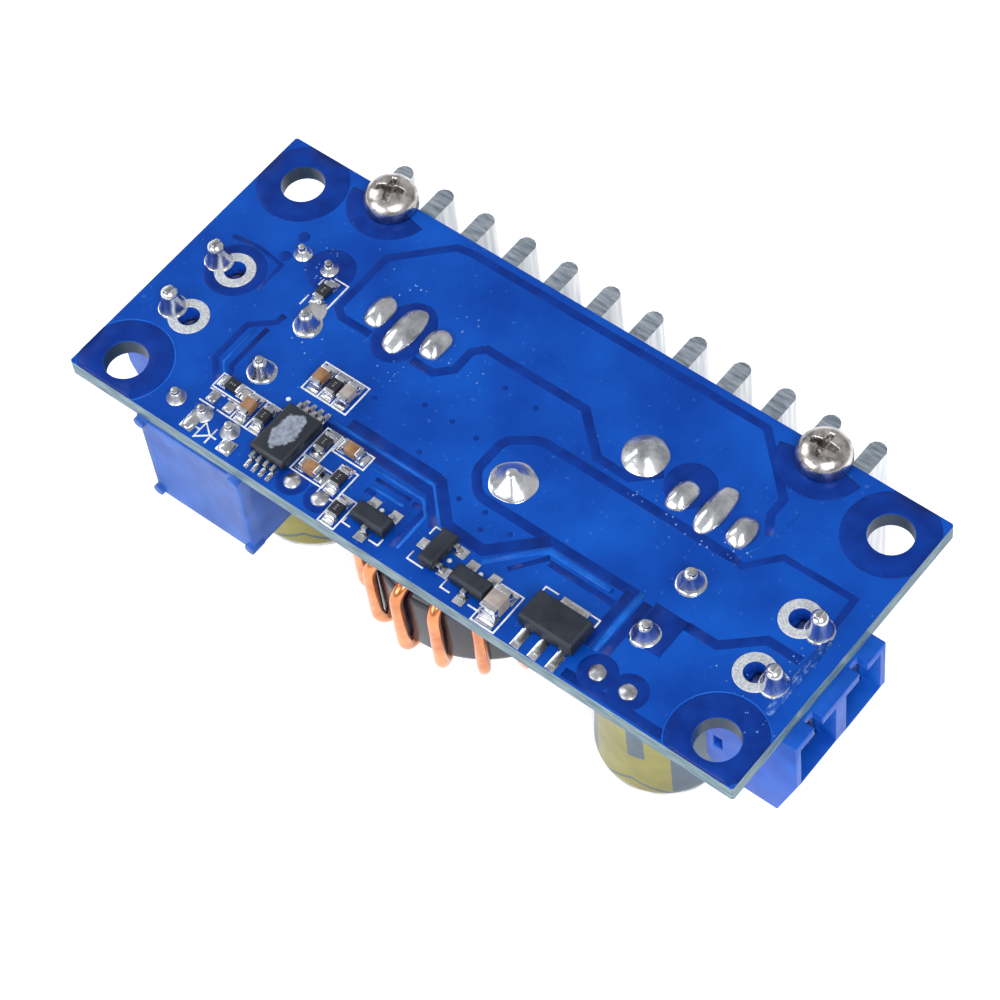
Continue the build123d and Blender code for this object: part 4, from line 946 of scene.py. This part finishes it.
# The side is the way round the ring, less its share along the wire.
share = (round_way * forward_way).sum(axis=1, keepdims=True)
side_way = unit(round_way - forward_way * share)
third_way = np.cross(forward_way, side_way)
a = np.linspace(0, 2 * np.pi, 16, endpoint=False)[None, :, None]
cross = np.cos(a) * side_way[:, None] + np.sin(a) * third_way[:, None]
wire_rings = wire_path[:, None] + WIRE_R * cross
piece("copper_wire", [skin(wire_rings)], copper, ["inductor_winding"])
print("wire stations:", len(wire_path))

# %% Core
# The core's section is a rectangle with its corners eased.
CORE_OUT, CORE_IN, CORE_MIDDLE_Z, half_z, ease = 8.5, 4.95, -6.0, 3.3, 0.9
corner = np.linspace(0, np.pi / 2, 7)
mid_r, half_r = (CORE_OUT + CORE_IN) / 2, (CORE_OUT - CORE_IN) / 2
quarter_r = half_r - ease + ease * np.sin(corner)
quarter_z = half_z - ease + ease * np.cos(corner)
loop_r = np.concatenate([quarter_r, quarter_r[::-1], -quarter_r, -quarter_r[::-1]])
loop_z = np.concatenate([quarter_z, -quarter_z[::-1], -quarter_z, quarter_z[::-1]])
core_rings = revolve(np.column_stack([mid_r + loop_r, loop_z + CORE_MIDDLE_Z]), 96)
points, quads, triangles = skin(core_rings, closed=True)
ring = (moved(points, CORE_X, CORE_Y), quads, triangles)
piece("coated_ring", [ring], core_finish, ["inductor_core"])
print("core points:", len(points))

# %% [markdown]
# ## Capacitors
#
# Each can is rolled in to grip its rubber bung, and a heat-shrunk printed film covers
# it. One smooth profile gives both, so the film follows the groove. The output
# capacitor leans, as it does in the photograph.

# %% Cans and sleeves
def leaning(points, x, y, degrees):
    """Points about a can's axis, turned about +Y by an angle a at its top:
    x' = x cos a + z sin a, z' = z cos a - x sin a, with z from the board's middle."""
    a = math.radians(degrees)
    pivot = -BOARD_THICK / 2
    px, pz = points[:, 0], points[:, 2] - pivot
    turned_x = px * math.cos(a) + pz * math.sin(a)
    turned_z = pz * math.cos(a) - px * math.sin(a)
    return np.column_stack([turned_x + x, points[:, 1] + y, turned_z + pivot])


FILM_R, FILM, FILM_TOP, FILM_END, GROOVE_Z, GROOVE_HALF = 4.99, 0.13, -2.1, -18.4, -3.6, 0.8
# The wall steps in by 0.45 at the groove, and its two rims curl in by 0.35.
heights = np.linspace(FILM_TOP, FILM_END, 66)
from_groove = heights - GROOVE_Z
groove = 0.45 * np.clip(np.cos(from_groove / GROOVE_HALF * np.pi / 2), 0, 1) ** 1.5
groove[np.abs(from_groove) > GROOVE_HALF] = 0
to_end = np.minimum(heights - FILM_END, FILM_TOP - heights)
outer_wall = FILM_R - groove - 0.35 * np.clip(1 - to_end / 0.5, 0, 1) ** 2
loop_r = np.concatenate([outer_wall, outer_wall[::-1] - FILM])
film_loop = np.column_stack([loop_r, np.concatenate([heights, heights[::-1]])])
# A leaning can's axis lies this far to -X for each degree, 13 mm below the board, and
# its print is set out about that place.
LEAN_SHIFT = 0.23
# Label, place, lean and the gold field's middle in degrees, its half width in radians.
cans = [("input", INPUT_CAN, 0.0, -62.0, 0.9), ("output", OUTPUT_CAN, 4.5, -86.0, 0.66)]
for label, (x, y), lean, turn, half in cans:
    points, quads, triangles = skin(revolve(film_loop, 96), closed=True)
    film = sleeve_finish(label + "_film", x - lean * LEAN_SHIFT, y, turn, half)
    piece(label + "_film_sleeve", [(leaning(points, x, y, lean), quads, triangles)], film,
          [label + "_capacitor_sleeve"])
    softened(label + "_capacitor_bung", black_rubber, 0.08)
    softened(label + "_capacitor_leads", tin, 0.05)
    dress(label + "_capacitor_can", can_metal)
print("capacitors are dressed")

# %% [markdown]
# ## Screws
#
# A pan head is pressed from wire, domed on top, with a cross recess whose arms narrow
# outward. The top is a height over rings and angles: a dome less the deeper of two arms.

# %% Board screws
def pan_head(x, y, degrees):
    """Rings from the shank's tip up and in over the head. The dome is
    z = 0.72 + 1.15 (1 - (r / R)^2.5)^0.5, and an arm of half width w cuts it by 0.9 times
    1.6 (1 - |v| / w) times 1.8 (1 - (|u| / 1.12)^3), each held between 0 and 1."""
    a = np.linspace(0, 2 * np.pi, 96, endpoint=False)
    big = 2.02
    inner = big * np.sin(np.linspace(np.pi / 2, 0.004, 44))
    radius = np.concatenate([[0.9, 1.15, 1.15, 1.95, big], inner])[:, None]
    dome = 0.72 + 1.15 * np.sqrt(np.clip(1 - (inner / big) ** 2.5, 0, 1))
    level = np.concatenate([[-8.0, -7.6, 0.0, 0.0, 0.08], dome])[:, None]
    px, py = radius * np.cos(a), radius * np.sin(a)
    arms = []
    for u, v in ((px, py), (py, px)):
        width = 0.36 * (1 - 0.3 * np.abs(u) / 1.1)
        wall = np.clip(1.6 * (1 - np.abs(v) / width), 0, 1)
        arms.append(wall * np.clip(1.8 * (1 - (np.abs(u) / 1.12) ** 3), 0, 1))
    cut = 0.9 * np.maximum(arms[0], arms[1]) * (level > 0.5)
    rings = np.stack([px, py, level - cut], axis=-1)
    points, quads, triangles = skin(rings)
    return moved(points, x, y, degrees), quads, triangles


heads = [pan_head(*spot, turn) for spot, turn in zip(SCREW_SPOTS, (20, 5))]
piece("pan_head_screws", heads, nickel, ["board_screws"])
print("screws are made")

# %% [markdown]
# ## Moulded, stamped and extruded parts
#
# The rest keep their CAD shapes with their edges broken as mould, stamp or saw leaves
# them. A wide radius reads as moulded plastic and a narrow one as cut metal.

# %% Softened solids
softened("heatsink", aluminium, 0.1)
for label in ("input", "output"):
    softened(label + "_terminal_housing", blue_mould, 0.16)
    softened(label + "_terminal_contacts", tin, 0.13)
    for side in ("near", "far"):
        for part in ("clamp", "screw"):
            node, body = f"{label}_terminal_{part}_{side}", f"{label}_{part}_{side}"
            softened(node, clamp_metal, 0.08, body)
softened("trimmer_housing", trimmer_blue, 0.12)
softened("trimmer_screw", brass, 0.06, "trimmer_adjuster")
softened("trimmer_pins", tin, 0.06)
softened("indicator_lamp", lens, 0.15, steps=3)
softened("indicator_lamp_leads", tin, 0.05)
for name in ("switch_transistor_body", "rectifier_body"):
    softened(name, mould, 0.15)
for name in ("switch_transistor_frame", "rectifier_frame"):
    softened(name, tin, 0.06)
softened("insulating_pads", grey_rubber, 0.04)
softened("insulating_bushes", mould, 0.08)
softened("tab_screws", nickel, 0.12)
softened("solder_pads", solder, 0.03)
softened("control_chip_body", smeared, 0.08)
softened("small_transistor_bodies", mould, 0.07)
softened("regulator_body", mould, 0.08)
for name in ("control_chip_leads", "small_transistor_leads", "regulator_leads"):
    softened(name, tin, 0.035)
for name in ("chip_resistor_ends", "chip_capacitor_ends"):
    softened(name, solder, 0.06)
softened("chip_resistor_bodies", black_coat, 0.03)
softened("chip_capacitor_bodies", tan, 0.05)
softened("pale_capacitor_bodies", pale, 0.05)
dress("circuit_board", board)
print("softened solids are in place")

# %% [markdown]
# ## Sizes before the end
#
# The CAD model's box, taken before any dressing, is printed.

# %% Print the CAD box
print("CAD box:", cad_low_high)
